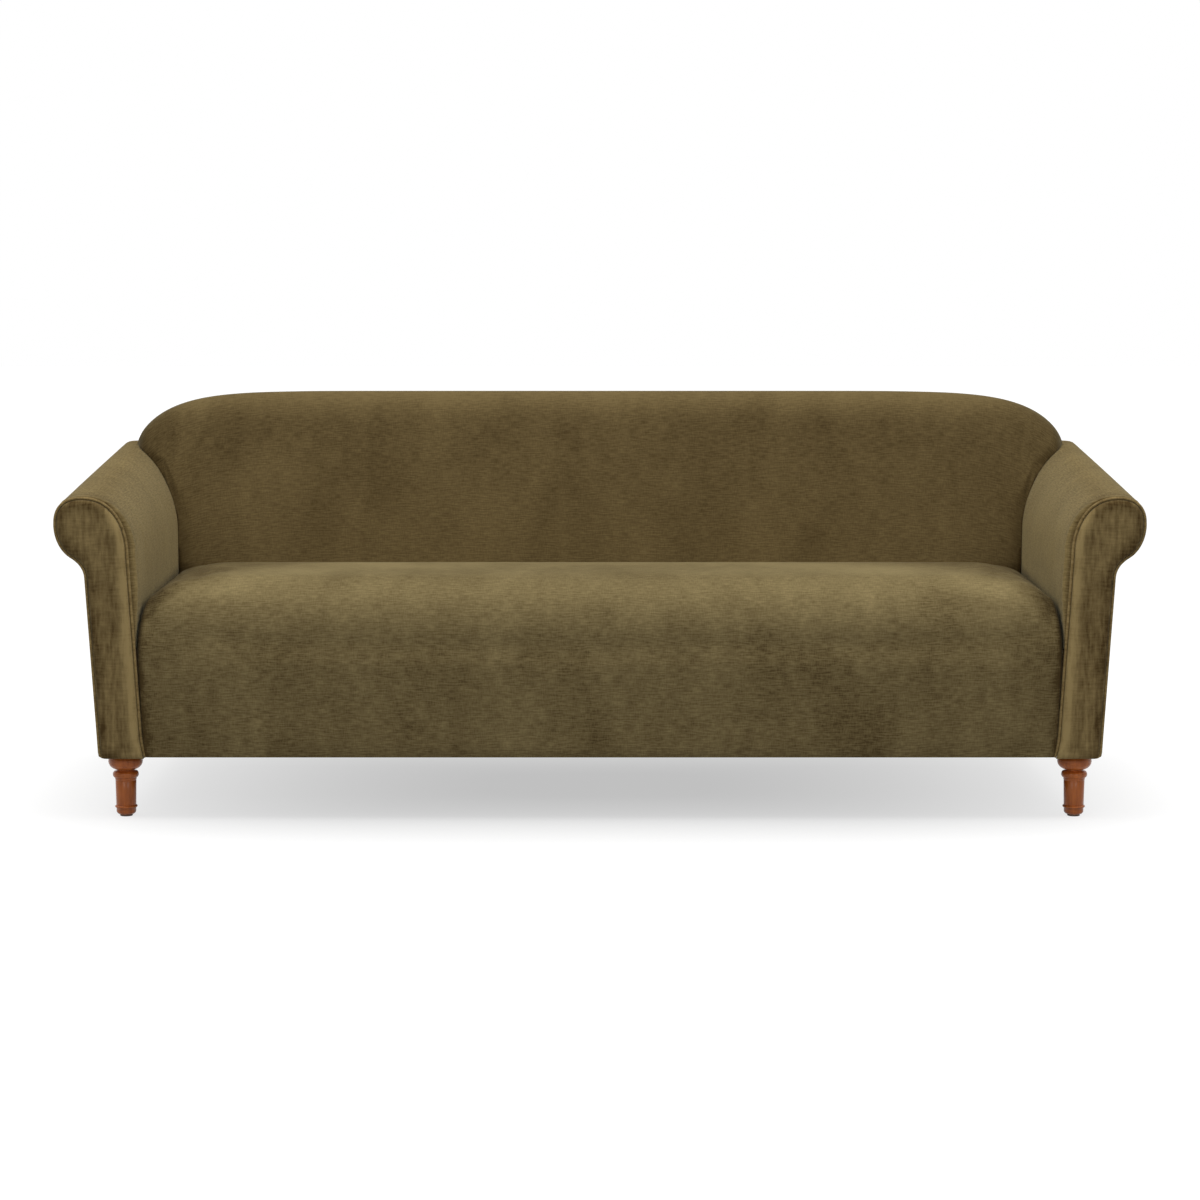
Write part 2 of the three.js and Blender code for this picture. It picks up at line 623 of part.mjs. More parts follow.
// Section of the back cushion: up the crowned face, over the top roll, down behind the top rail and under it
function backSection(x) {
  const share = Math.abs(x) / BACK_HALF;
  const top = camelTop(x);
  const buried = clamp((Math.abs(x) - innerX(SHOULDER_START)) / INNER_PADDING, 0, 1);
  const foot = lerp(DECK, BACK_SHOULDER - SHOULDER_ROOT, buried);
  const shoulder = top - TOP_ROLL_FRONT;
  const hookEnd = top - TOP_ROLL_REAR;
  const crestY = rearY(hookEnd) - TOP_ROLL_SETBACK;
  const turned = roundOff((Math.abs(x) - BACK_HALF + TOP_ROLL_FRONT) / TOP_ROLL_FRONT);
  const points = [];
  const seam = Math.max(SEAT_BACK_HEIGHT, lerp(foot, shoulder, FACE_SEAM_SHARE));
  const faceShares = [0, 0.2, 0.4, 0.6, 0.8, 1];
  for (const z of [foot, ...faceShares.map((s) => lerp(seam, shoulder, s))]) {
    const rise = clamp((z - SEAT_BACK_HEIGHT) / (shoulder - SEAT_BACK_HEIGHT), 0, 1);
    const crown = BACK_CROWN * Math.sin(Math.PI * rise) * (1 - share ** CROWN_SIDE_POWER_SHARE);
    const end = Math.min(crestY, tackFront(z) - WEBBING_THICKNESS);
    points.push([lerp(faceY(z) - crown, end, turned), z]);
  }
  const frontReach = crestY - points.at(-1)[0];
  for (let i = 1; i <= TOP_ROLL_STEPS; i++) {
    const angle = (i / TOP_ROLL_STEPS) * (Math.PI / 2);
    points.push([crestY - frontReach * Math.cos(angle), shoulder + TOP_ROLL_FRONT * Math.sin(angle)]);
  }
  for (let i = 1; i <= TOP_ROLL_STEPS; i++) {
    const angle = (i / TOP_ROLL_STEPS) * (Math.PI / 2);
    points.push([crestY + TOP_ROLL_SETBACK * Math.sin(angle), hookEnd + TOP_ROLL_REAR * Math.cos(angle)]);
  }
  const roof = top - TOP_RAIL_COVER;
  points.push([postRearY(hookEnd) + GAP, hookEnd], [postRearY(roof) + GAP, roof]);
  points.push([postFrontY(roof) - GAP, roof]);
  const ledge = Math.min(Math.max(TOP_RAIL_UNDERSIDE, foot) + GAP, roof - GAP);
  points.push([postFrontY(ledge) - GAP, ledge]);
  const liner = (z) => ribY(z) - WEBBING_THICKNESS - 2 * GAP;
  points.push([liner(ledge), ledge]);
  const shelf = Math.max(tackFoot + BACK_TACK_HEIGHT + GAP, foot + GAP);
  points.push([liner(shelf), shelf], [tackFront(shelf) - GAP, shelf], [tackFront(foot) - GAP, foot]);
  return points;
}

function backPad() {
  const loops = camelStations().map((x) => backSection(x).map(([y, z]) => new THREE.Vector3(x, y, z)));
  const arm = armEnvelope();
  const otherArm = solid(mirrored(geometryOf(arm)));
  return geometryOf(solid(loft(loops, onYZ)).subtract(arm).subtract(otherArm));
}

// Cloth-covered outside back: the two arm ends joined with the camelback outline below the top roll
function outsideBack() {
  const inset = { inner: OUTSIDE_PANEL, roll: OUTSIDE_PANEL, outer: 0 };
  const front = (z) => rearY(z) - OUTSIDE_BACK_THICKNESS;
  const end = boardXZ(armOutline(1, inset, 0), front, rearY);
  const outline = [[-innerX(0) - INNER_PADDING, 0], [innerX(0) + INNER_PADDING, 0]];
  for (const x of camelStations().reverse()) {
    if (Math.abs(x) < CREST_X) outline.push([x, camelTop(x) - TOP_ROLL_REAR - GAP]);
  }
  const middle = boardXZ(outline, front, rearY);
  return geometryOf(solid(middle).add(solid(end)).add(solid(mirrored(end))));
}

// Section of the seat at a share of its half width: front border, front roll, top, underside on the springs
function seatSection(share) {
  const half = innerX(SEAT_CREST);
  const side = roundOff((Math.abs(share) * half - half + SEAT_SIDE_ROUNDING) / SEAT_SIDE_ROUNDING);
  const front = lerp(SEAT_CREST, SEAT_SIDE_FRONT, side);
  const rear = lerp(SEAT_BACK_HEIGHT, SEAT_SIDE_REAR, side);
  const rollBase = front - SEAT_ROLL_HEIGHT;
  const points = [[BORDER_FRONT + WELT_RADIUS, 0], [BORDER_FRONT, rollBase / 2]];
  for (let i = 0; i <= SEAT_ROLL_STEPS; i++) {
    const angle = (i / SEAT_ROLL_STEPS) * (Math.PI / 2);
    const back = SEAT_ROLL_DEPTH * (1 - Math.cos(angle));
    points.push([BORDER_FRONT + back, rollBase + SEAT_ROLL_HEIGHT * Math.sin(angle)]);
  }
  const topShares = [0.35, 0.7, 1];
  const [from, to] = [BORDER_FRONT + SEAT_ROLL_DEPTH, SEAT_BACK_Y - GAP];
  for (const s of topShares) points.push([lerp(from, to, s), lerp(front, rear, s * s)]);
  points.push([to, DECK], [BORDER_FRONT + BORDER_THICKNESS, DECK], [BORDER_FRONT + BORDER_THICKNESS, 0]);
  return points;
}

function seatPad() {
  const shares = [];
  for (let i = -SEAT_STEPS; i <= SEAT_STEPS; i++) shares.push(Math.sin((i / SEAT_STEPS) * (Math.PI / 2)));
  const loops = shares.map((share) => seatSection(share).map(([y, z]) => (
    new THREE.Vector3(share * (innerX(z) - GAP), y, z))));
  return loft(loops, onYZ);
}

function dustCover() {
  const end = outerX(0) - OUTSIDE_PANEL - GAP;
  const [front, rear] = [frontRailFace, postRearY(0)];
  const outline = new THREE.Shape([
    new THREE.Vector2(-end, front), new THREE.Vector2(end, front),
    new THREE.Vector2(end, rear), new THREE.Vector2(-end, rear),
  ]);
  for (const { y } of legRows) {
    for (const side of [-1, 1]) outline.holes.push(circle(side * LEG_X, y, BOLT_RADIUS + GAP));
  }
  return new THREE.ExtrudeGeometry(outline, { depth: DUST_COVER_THICKNESS, bevelEnabled: false });
}

// Zigzag spring: half loops joined by straight bars, lying on the two seat rails
function seatSpring(x) {
  const [front, rear] = [frontRailFace + BOARD / 2, rearRailFace + BOARD / 2];
  const points = [new THREE.Vector3(x, front, SPRING_LEVEL)];
  const pitch = (rear - front) / (2 * SPRING_WAVES + 1);
  for (let i = 0; i < 2 * SPRING_WAVES; i++) {
    const side = i % 2 ? -1 : 1;
    const reach = SPRING_WIDTH / 2;
    const cornerShares = [[0.72, -0.42], [1, 0], [0.72, 0.42]];
    for (const [out, along] of cornerShares) {
      points.push(new THREE.Vector3(x + side * reach * out, front + pitch * (i + 1 + along), SPRING_LEVEL));
    }
  }
  points.push(new THREE.Vector3(x, rear, SPRING_LEVEL));
  return cordThrough(points, SPRING_WIRE, SPRING_SIDES);
}

// Turned leg with bores for the hanger bolt and for the pin of the glide
function leg() {
  const top = LEG_HEIGHT - GAP;
  const sole = GLIDE_THICKNESS + GAP;
  const neckLevel = top - LEG_BUN_HEIGHT;
  const collar = neckLevel - LEG_COLLAR_HEIGHT / 2;
  const shaftTop = neckLevel - LEG_COLLAR_HEIGHT;
  const profile = [
    [0, sole + GLIDE_PIN_LENGTH],
    [GLIDE_PIN_RADIUS + GAP, sole + GLIDE_PIN_LENGTH],
    [GLIDE_PIN_RADIUS + GAP, sole],
  ];
  for (let i = 0; i <= FOOT_STEPS; i++) {
    const angle = (i / FOOT_STEPS) * (Math.PI / 2);
    const edge = LEG_FOOT_RADIUS - LEG_FOOT_ROUNDING * (1 - Math.sin(angle));
    profile.push([edge, sole + LEG_FOOT_ROUNDING * (1 - Math.cos(angle))]);
  }
  profile.push(
    [LEG_FOOT_RADIUS, LEG_RING_LEVEL - LEG_RING_HEIGHT / 2],
    [LEG_RING_RADIUS, LEG_RING_LEVEL],
    [LEG_SHAFT_FOOT_RADIUS, LEG_RING_LEVEL + LEG_RING_HEIGHT / 2],
    [LEG_SHAFT_TOP_RADIUS, shaftTop],
  );
  for (let i = 1; i <= TURNING_STEPS; i++) {
    const angle = (i / TURNING_STEPS - 1 / 2) * Math.PI;
    const reach = LEG_COLLAR_RADIUS - LEG_SHAFT_TOP_RADIUS;
    const foot = i === TURNING_STEPS ? LEG_NECK_RADIUS : LEG_SHAFT_TOP_RADIUS + reach * Math.cos(angle);
    profile.push([foot, collar + (LEG_COLLAR_HEIGHT / 2) * Math.sin(angle)]);
  }
  const bun = LEG_BUN_HEIGHT / (1 + Math.sin(LEG_BUN_TOP_ANGLE));
  for (let i = 1; i <= TURNING_STEPS; i++) {
    const angle = lerp(-Math.PI / 2, LEG_BUN_TOP_ANGLE, i / TURNING_STEPS);
    const reach = LEG_BUN_RADIUS - LEG_NECK_RADIUS;
    profile.push([LEG_NECK_RADIUS + reach * Math.cos(angle), neckLevel + bun * (1 + Math.sin(angle))]);
  }
  const pocket = top - BOLT_IN_LEG - GAP;
  profile.push([BOLT_RADIUS + GAP, top], [BOLT_RADIUS + GAP, pocket], [0, pocket]);
  return turned(profile, LEG_SIDES);
}

function turned(profile, sides) {
  const points = profile.map(([r, z]) => new THREE.Vector2(r, z));
  const lathe = welded(new THREE.LatheGeometry(points, sides).rotateX(Math.PI / 2));
  return signedVolume(lathe) < 0 ? flipped(lathe) : lathe;
}

function hangerBolt() {
  const low = LEG_HEIGHT - GAP - BOLT_IN_LEG;
  const high = LEG_HEIGHT + FRAME_FOOT + BLOCK_THICKNESS + BOLT_ABOVE_BLOCK;
  const tip = BOLT_RADIUS / 2;
  return turned([
    [0, low], [tip, low + tip], [BOLT_RADIUS, low + 2 * BOLT_RADIUS],
    [BOLT_RADIUS, high - tip], [tip, high], [0, high],
  ], HARDWARE_SIDES);
}

function teeNut() {
  const seat = LEG_HEIGHT + FRAME_FOOT + BLOCK_THICKNESS + GAP;
  const bore = BOLT_RADIUS + GAP;
  const [foot, head] = [seat - NUT_BARREL_LENGTH, seat + NUT_FLANGE_THICKNESS];
  return turned([
    [bore, foot], [NUT_BARREL_RADIUS, foot], [NUT_BARREL_RADIUS, seat],
    [NUT_FLANGE_RADIUS, seat], [NUT_FLANGE_RADIUS, head], [bore, head], [bore, foot],
  ], HARDWARE_SIDES);
}

function glide() {
  const rim = GLIDE_THICKNESS / 3;
  return turned([
    [0, 0], [GLIDE_RADIUS - rim, 0], [GLIDE_RADIUS, rim], [GLIDE_RADIUS, GLIDE_THICKNESS],
    [GLIDE_PIN_RADIUS, GLIDE_THICKNESS], [GLIDE_PIN_RADIUS, GLIDE_PIN_LENGTH],
    [0, GLIDE_PIN_LENGTH + GLIDE_PIN_RADIUS],
  ], HARDWARE_SIDES);
}

// Assembly
const sofa = new THREE.Group();
const body = new THREE.Group();
body.position.z = LEG_HEIGHT;
sofa.add(body);

function put(parent, name, geometry, material) {
  const mesh = new THREE.Mesh(geometry, material);
  mesh.name = name;
  parent.add(mesh);
  return mesh;
}

function putPair(name, geometry, material) {
  put(body, `${name}_right`, geometry, material());
  put(body, `${name}_left`, mirrored(geometry), material());
}

put(body, "seat_pad", seatPad(), velvet());
put(body, "back_pad", backPad(), velvet());
put(body, "outside_back", outsideBack(), velvet());
put(body, "dust_cover", dustCover(), blackCloth());
putPair("arm_pad", armPad(), velvet);
putPair("arm_facing", armFacing(), velvet);
putPair("arm_piping", armPiping(), velvet);
putPair("outside_arm", outsideArm(), velvet);

put(body, "front_rail", frontRail(), hardwood());
put(body, "rear_rail", rearRail(), hardwood());
put(body, "back_bottom_rail", backBottomRail(), hardwood());
put(body, "back_tack_rail", backTackRail(), hardwood());
put(body, "back_top_rail", backTopRail(), hardwood());
put(body, "back_webbing", backWebbing(), jute());
putPair("end_rail", endRail(), hardwood);
putPair("arm_post", armPost(), hardwood);
putPair("back_post", backPost(), hardwood);
putPair("arm_rail", armRail(), hardwood);
putPair("arm_tack_rail", armTackRail(), hardwood);
putPair("seat_brace", seatBrace(BRACE_SPACING / 2), hardwood);

for (let i = 0; i < RIB_COUNT; i++) {
  const x = lerp(-ribReach(), ribReach(), i / (RIB_COUNT - 1));
  put(body, `back_rib_${i + 1}`, backRib(x), hardwood());
}

for (let i = 0; i < SPRING_COUNT; i++) {
  const springReach = endRailInner() - SPRING_FROM_END_RAIL;
  const x = lerp(-springReach, springReach, i / (SPRING_COUNT - 1));
  put(body, `seat_spring_${i + 1}`, seatSpring(x), steel());
}

for (const row of legRows) {
  putPair(`corner_block_${row.place}`, cornerBlock(row), hardwood);
  for (const [side, word] of [[-1, "left"], [1, "right"]]) {
    const corner = new THREE.Group();
    corner.position.set(side * LEG_X, row.y, 0);
    sofa.add(corner);
    put(corner, `leg_${row.place}_${word}`, leg(), turnedWood());
    put(corner, `hanger_bolt_${row.place}_${word}`, hangerBolt(), steel());
    put(corner, `tee_nut_${row.place}_${word}`, teeNut(), steel());
    put(corner, `glide_${row.place}_${word}`, glide(), nylon());
  }
}

export default sofa;
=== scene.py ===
"""English roll arm sofa in olive velvet: padded covers, welts, turned legs and their finishes.

Metres, +Z up, the front faces -Y. Heights inside the shape functions are counted from the underside of the
body, and a Cover lifts them by its base, the height of the legs.
"""
import json

import bpy
import numpy as np
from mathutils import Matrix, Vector


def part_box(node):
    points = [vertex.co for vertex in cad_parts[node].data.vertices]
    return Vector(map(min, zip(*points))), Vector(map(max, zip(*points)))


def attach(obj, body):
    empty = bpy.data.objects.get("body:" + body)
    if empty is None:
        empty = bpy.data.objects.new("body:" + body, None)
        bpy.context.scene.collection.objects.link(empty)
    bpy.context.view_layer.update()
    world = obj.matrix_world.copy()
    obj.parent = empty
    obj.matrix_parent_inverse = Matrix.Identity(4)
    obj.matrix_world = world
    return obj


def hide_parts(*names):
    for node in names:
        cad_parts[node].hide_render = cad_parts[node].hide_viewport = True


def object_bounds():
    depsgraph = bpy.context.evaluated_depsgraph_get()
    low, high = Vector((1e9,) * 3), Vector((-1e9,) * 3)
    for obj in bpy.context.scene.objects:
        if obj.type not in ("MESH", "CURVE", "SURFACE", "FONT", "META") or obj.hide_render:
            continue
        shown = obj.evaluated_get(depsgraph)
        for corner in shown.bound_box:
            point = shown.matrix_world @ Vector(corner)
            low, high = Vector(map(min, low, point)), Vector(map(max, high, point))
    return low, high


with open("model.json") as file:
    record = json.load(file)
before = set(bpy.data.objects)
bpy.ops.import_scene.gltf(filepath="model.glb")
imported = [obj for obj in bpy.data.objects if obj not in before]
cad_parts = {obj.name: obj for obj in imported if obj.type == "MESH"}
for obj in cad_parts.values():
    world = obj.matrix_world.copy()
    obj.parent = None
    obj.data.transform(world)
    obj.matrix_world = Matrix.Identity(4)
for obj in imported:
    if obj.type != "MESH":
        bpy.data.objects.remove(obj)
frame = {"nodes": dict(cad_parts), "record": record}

CAD_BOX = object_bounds()
BOX_LOW, BOX_HIGH = CAD_BOX

# Overall sizes, from the frame
HALF_WIDTH = BOX_HIGH.x
FRONT = BOX_LOW.y
REAR = BOX_HIGH.y
RAIL_LIFT = 0.0016
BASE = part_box("front_rail")[0].z - RAIL_LIFT
TOP = BOX_HIGH.z - BASE
GAP = 0.0003

# Arm section
ARM_THICKNESS = 0.093
ARM_LEAN = 0.058
ARM_CLIMB = 0.066
ARM_OVER_SHOULDER = 0.006
ROLL_RADIUS = 0.058
ROLL_RISE = 0.056
ROLL_DROP = 0.075
ROLL_OVERHANG = 0.054
CREST_SHIFT = 0.011
SHOULDER_CLIMB = 0.122
SHOULDER_POWERS = (2.2, 1.5)
ROLL_POWERS = (2.4, 3.6)
NECK_FILLET = 0.025
NECK_ANGLE = np.radians(65)
FACING_THICKNESS = 0.014
WELT_RADIUS = 0.003
INNER_PADDING = 0.024
ROLL_PADDING = 0.020
OUTSIDE_PANEL = 0.006

# Back
BACK_SIDE_INSET = 0.048
BACK_SHOULDER_DROP = 0.122
CAMEL_SIDE_POWER = 10.9
CAMEL_TOP_POWER = 1.5
FACE_RAKE = 0.372
REAR_RAKE = 0.01
BACK_CROWN = 0.012
CROWN_SIDE_POWER = 4
TOP_ROLL_FRONT = 0.060
TOP_ROLL_REAR = 0.045
TOP_ROLL_SETBACK = 0.070
SHOULDER_ROOT = 0.090
FACE_SEAM = 0.2
BACK_THICKNESS = 0.240
OUTSIDE_BACK_THICKNESS = 0.008

# Seat
SEAT_CREST = 0.356
SEAT_BACK_HEIGHT = 0.333
SEAT_SIDE_FRONT = 0.278
SEAT_SIDE_REAR = 0.305
SEAT_SIDE_ROUNDING = 0.088
SEAT_ROLL_DEPTH = 0.105
SEAT_ROLL_HEIGHT = 0.115
BORDER_THICKNESS = 0.025
BORDER_SETBACK = 0.006

# Frame lines that the hidden sides of the covers keep clear of
BOARD = 0.026
POST_THICKNESS = 0.028
RAIL_TOP = 0.218
REAR_RAIL_SETBACK = 0.039
TOP_RAIL_DROP = 0.112
TOP_RAIL_COVER = 0.034
RIB_HEAD_DEPTH = 0.013
BACK_TACK_HEIGHT = 0.056
BACK_TACK_THICKNESS = 0.020
WEBBING_THICKNESS = 0.003
DECK_LIFT = 0.0044
DECK = RAIL_TOP + DECK_LIFT

# Derived levels and lines
ARM_FRONT = FRONT + FACING_THICKNESS + GAP
BACK_SHOULDER = TOP - BACK_SHOULDER_DROP
BACK_HALF = HALF_WIDTH - BACK_SIDE_INSET
ARM_HEIGHT = BACK_SHOULDER + ARM_OVER_SHOULDER - ARM_CLIMB
SHOULDER_START = ARM_HEIGHT - SHOULDER_CLIMB
ROLL_CENTRE = ARM_HEIGHT - ROLL_RISE
CREST_X = HALF_WIDTH - ROLL_RADIUS
BORDER_FRONT = FRONT + BORDER_SETBACK


def outer_x(z):
    return HALF_WIDTH - ROLL_OVERHANG - (ROLL_CENTRE - z) * ARM_LEAN


def inner_x(z):
    return outer_x(z) - ARM_THICKNESS


def rear_y(z):
    return REAR - (TOP - TOP_ROLL_REAR - z) * REAR_RAKE


def post_rear_y(z):
    return rear_y(z) - OUTSIDE_BACK_THICKNESS - GAP


def post_front_y(z):
    return post_rear_y(z) - POST_THICKNESS


SEAT_BACK_Y = rear_y(SEAT_BACK_HEIGHT) - BACK_THICKNESS


def face_y(z):
    return SEAT_BACK_Y + np.maximum(0, z - SEAT_BACK_HEIGHT) * FACE_RAKE


def round_off(share):
    """How far a quarter circle has fallen at a share of its radius: 1 - sqrt(1 - share^2)."""
    return 1 - np.sqrt(1 - np.clip(share, 0, 1) ** 2)


def mix(a, b, share):
    return a + (b - a) * share


def eased(share):
    """An S curve from 0 to 1: 3 s^2 - 2 s^3."""
    share = np.clip(share, 0, 1)
    return share * share * (3 - 2 * share)


def bell(value, middle, width):
    return np.exp(-((value - middle) / width) ** 2)


def quarter(count, **more):
    """Angles from 0 to a quarter turn."""
    return np.linspace(0, np.pi / 2, count, **more)


def across(side, count):
    """Places across the sofa, left to right: the given ones at each side, and even steps between them."""
    right = np.concatenate([side, np.linspace(side[-1], 0, count)[1:]])
    return np.concatenate([-right[:-1], right[::-1]])


def camel_top(x):
    """Superellipse over the shoulder level: shoulder + drop (1 - |x / half|^10.9)^(1/1.5)."""
    side = np.clip(np.abs(x) / BACK_HALF, 0, 1) ** CAMEL_SIDE_POWER
    return BACK_SHOULDER + BACK_SHOULDER_DROP * (1 - side) ** (1 / CAMEL_TOP_POWER)


# Mesh making

def signed_volume(points, faces):
    """Six times the volume under triangles fanned from each face's first corner."""
    total = 0.0
    for face in faces:
        corners = points[np.atleast_2d(face)]
        total += np.sum(corners[:, :1] * np.cross(corners[:, 1:-1], corners[:, 2:]))
    return total


def add_object(name, data):
    """A new object at the origin, in the scene."""
    thing = bpy.data.objects.new(name, data)
    bpy.context.scene.collection.objects.link(thing)
    return thing


class Cover:
    """A closed skin through a grid of points (rows, columns, 3), round along the columns, with a lid on the
    first and last row. Its map holds lengths in metres: along the rows, and round the columns from origin."""

    def __init__(self, name, grid, run=None, base=BASE, origin=0):
        rows, columns = grid.shape[:2]
        points = grid.reshape(-1, 3).copy()
        points[:, 2] += base
        i, j = np.divmod(np.arange((rows - 1) * columns), columns)
        k = (j + 1) % columns
        quads = np.stack([i * columns + j, (i + 1) * columns + j, (i + 1) * columns + k, i * columns + k], 1)
        step = np.linalg.norm(np.diff(grid, axis=1, append=grid[:, :1]), axis=2)
        rise = np.concatenate([np.zeros((rows, 1)), np.cumsum(step, axis=1)], axis=1)
        rise -= rise[:, origin:origin + 1]
        if run is None:
            ahead = np.linalg.norm(np.diff(grid, axis=0), axis=2).mean(axis=1)
            run = np.concatenate([[0], np.cumsum(ahead)])
        run = np.broadcast_to(np.asarray(run).reshape(rows, -1), (rows, columns))
        run = np.concatenate([run, run[:, :1]], axis=1)
        corner = [(i, j), (i + 1, j), (i + 1, j + 1), (i, j + 1)]
        quad_map = np.stack([np.stack([run[a, b], rise[a, b]], 1) for a, b in corner], 1)
        first = np.arange(columns)
        last = (rows - 1) * columns + first[::-1]
        ends = [first, last]
        if signed_volume(points, [quads, *ends]) < 0:
            quads, quad_map = quads[:, ::-1], quad_map[:, ::-1]
            ends = [end[::-1] for end in ends]
        mesh = bpy.data.meshes.new(name)
        mesh.from_pydata(points.tolist(), [], quads.tolist() + [end.tolist() for end in ends])
        flat = [points[end][:, :2] for end in ends]
        layer = mesh.uv_layers.new(name="cloth")
        layer.data.foreach_set("uv", np.concatenate([quad_map.reshape(-1, 2), *flat]).ravel())
        mesh.polygons.foreach_set("use_smooth", np.ones(len(mesh.polygons), dtype=bool))
        mesh.update()
        self.object = add_object(name, mesh)
        self.name, self.shape, self.base, self.origin = name, (rows, columns), base, origin

    def grid(self):
        points = mesh_points(self.object.data)
        points[:, 2] -= self.base
        return points.reshape(*self.shape, 3)


def mesh_points(mesh):
    flat = np.empty(len(mesh.vertices) * 3)
    mesh.vertices.foreach_get("co", flat)
    return flat.reshape(-1, 3)


def worked(piece):
    """The piece with its modifiers worked in."""
    return piece.evaluated_get(bpy.context.evaluated_depsgraph_get())


def bake(piece):
    """Writes the modifiers into the mesh and clears them."""
    done = bpy.data.meshes.new_from_object(worked(piece), preserve_all_data_layers=True,
                                           depsgraph=bpy.context.evaluated_depsgraph_get())
    piece.modifiers.clear()
    old, piece.data = piece.data, done
    done.name = piece.name
    bpy.data.meshes.remove(old)


def other_side(piece, name):
    """A copy mirrored in the middle of the sofa, with its faces turned out again."""
    mesh = piece.data.copy()
    mesh.name = name
    points = mesh_points(mesh)
    points[:, 0] *= -1
    mesh.vertices.foreach_set("co", points.ravel())
    mesh.flip_normals()
    return add_object(name, mesh)


STUFFING_FRAMES = 20
EVENING_PASSES = 6
CLOTH_SETTINGS = {
    "vertex_group_mass": "held", "quality": 5, "mass": 0.3, "tension_stiffness": 25,
    "compression_stiffness": 25, "shear_stiffness": 12, "bending_stiffness": 4, "use_pressure": True,
    "uniform_pressure_force": 4.0,
}


def evened(field, free):
    """The field averaged with its neighbours on the grid, a quarter from each side, and 0 where held."""
    for _ in range(EVENING_PASSES):
        for axis in (0, 1):
            field = 0.5 * field + 0.25 * (np.roll(field, 1, axis) + np.roll(field, -1, axis))
        field = field * free
    return field


def stuff(cover, held, cap):
    """Blows the cover up a little with cloth physics: held points stay, the others move at most cap."""
    piece = cover.object
    group = piece.vertex_groups.new(name="held")
    group.add(np.flatnonzero(held).tolist(), 1.0, "REPLACE")
    start = mesh_points(piece.data)
    cloth = piece.modifiers.new("stuffing", "CLOTH")
    for key, value in CLOTH_SETTINGS.items():
        setattr(cloth.settings, key, value)
    cloth.settings.effector_weights.gravity = 0
    cloth.point_cache.frame_start = 1
    cloth.point_cache.frame_end = STUFFING_FRAMES
    for step in range(1, STUFFING_FRAMES + 1):
        bpy.context.scene.frame_set(step)
        worked(piece)
    moved = mesh_points(worked(piece).data) - start
    free = 1.0 - np.asarray(held, dtype=float).reshape(*cover.shape, 1)
    moved = evened(moved.reshape(*cover.shape, 3), free).reshape(-1, 3)
    far = np.linalg.norm(moved, axis=1, keepdims=True)
    moved *= np.minimum(1, cap / np.maximum(far, 1e-9))
    piece.modifiers.clear()
    piece.data.vertices.foreach_set("co", (start + moved).ravel())
    piece.data.update()
    bpy.context.scene.frame_set(1)


def finer(grid):
    """One step of cubic subdivision, round along the columns and open along the rows: an old point takes an
    eighth of each neighbour, and a new one lies halfway between two."""
    for axis in (1, 0):
        line = np.moveaxis(grid, axis, 0)
        if axis:
            before, after = np.roll(line, 1, 0), np.roll(line, -1, 0)
        else:
            before = np.concatenate([2 * line[:1] - line[1:2], line[:-1]])
            after = np.concatenate([line[1:], 2 * line[-1:] - line[-2:-1]])
        old = 0.75 * line + 0.125 * (before + after)
        new = 0.5 * (line + after)
        both = np.stack([old, new], 1).reshape(-1, *line.shape[1:])
        grid = np.moveaxis(both if axis else both[:-1], 0, axis)
    return grid


def stuffed(cover, held, cap):
    """The cover after its stuffing, on a grid twice as fine."""
    stuff(cover, held, cap)
    grid = finer(cover.grid())
    old = cover.object.data
    bpy.data.objects.remove(cover.object)
    bpy.data.meshes.remove(old)
    return Cover(cover.name, grid, origin=2 * cover.origin).object


def map_from_front(piece):
    """Maps the piece as it is seen straight on, by x and z in metres."""
    where = np.empty(len(piece.data.loops), dtype=np.int32)
    piece.data.loops.foreach_get("vertex_index", where)
    piece.data.uv_layers["cloth"].data.foreach_set("uv", mesh_points(piece.data)[where][:, [0, 2]].ravel())


def paint_light_and_shade(piece, light_and_shade_values):
    """Keeps the painted light and shade at each point, from -1, painted shade, to 1, painted light."""
    layer = piece.data.attributes.new("painted_light_and_shade", "FLOAT", "POINT")
    layer.data.foreach_set("value", np.clip(light_and_shade_values, -1, 1).astype(np.float32))


def dress(piece, material, slot, *nodes):
    """Puts the piece on the body in place of its solids, in its finish."""
    piece.data.materials.clear()
    piece.data.materials.append(material)
    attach(piece, "root")
    if nodes:
        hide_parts(*nodes)


# Materials

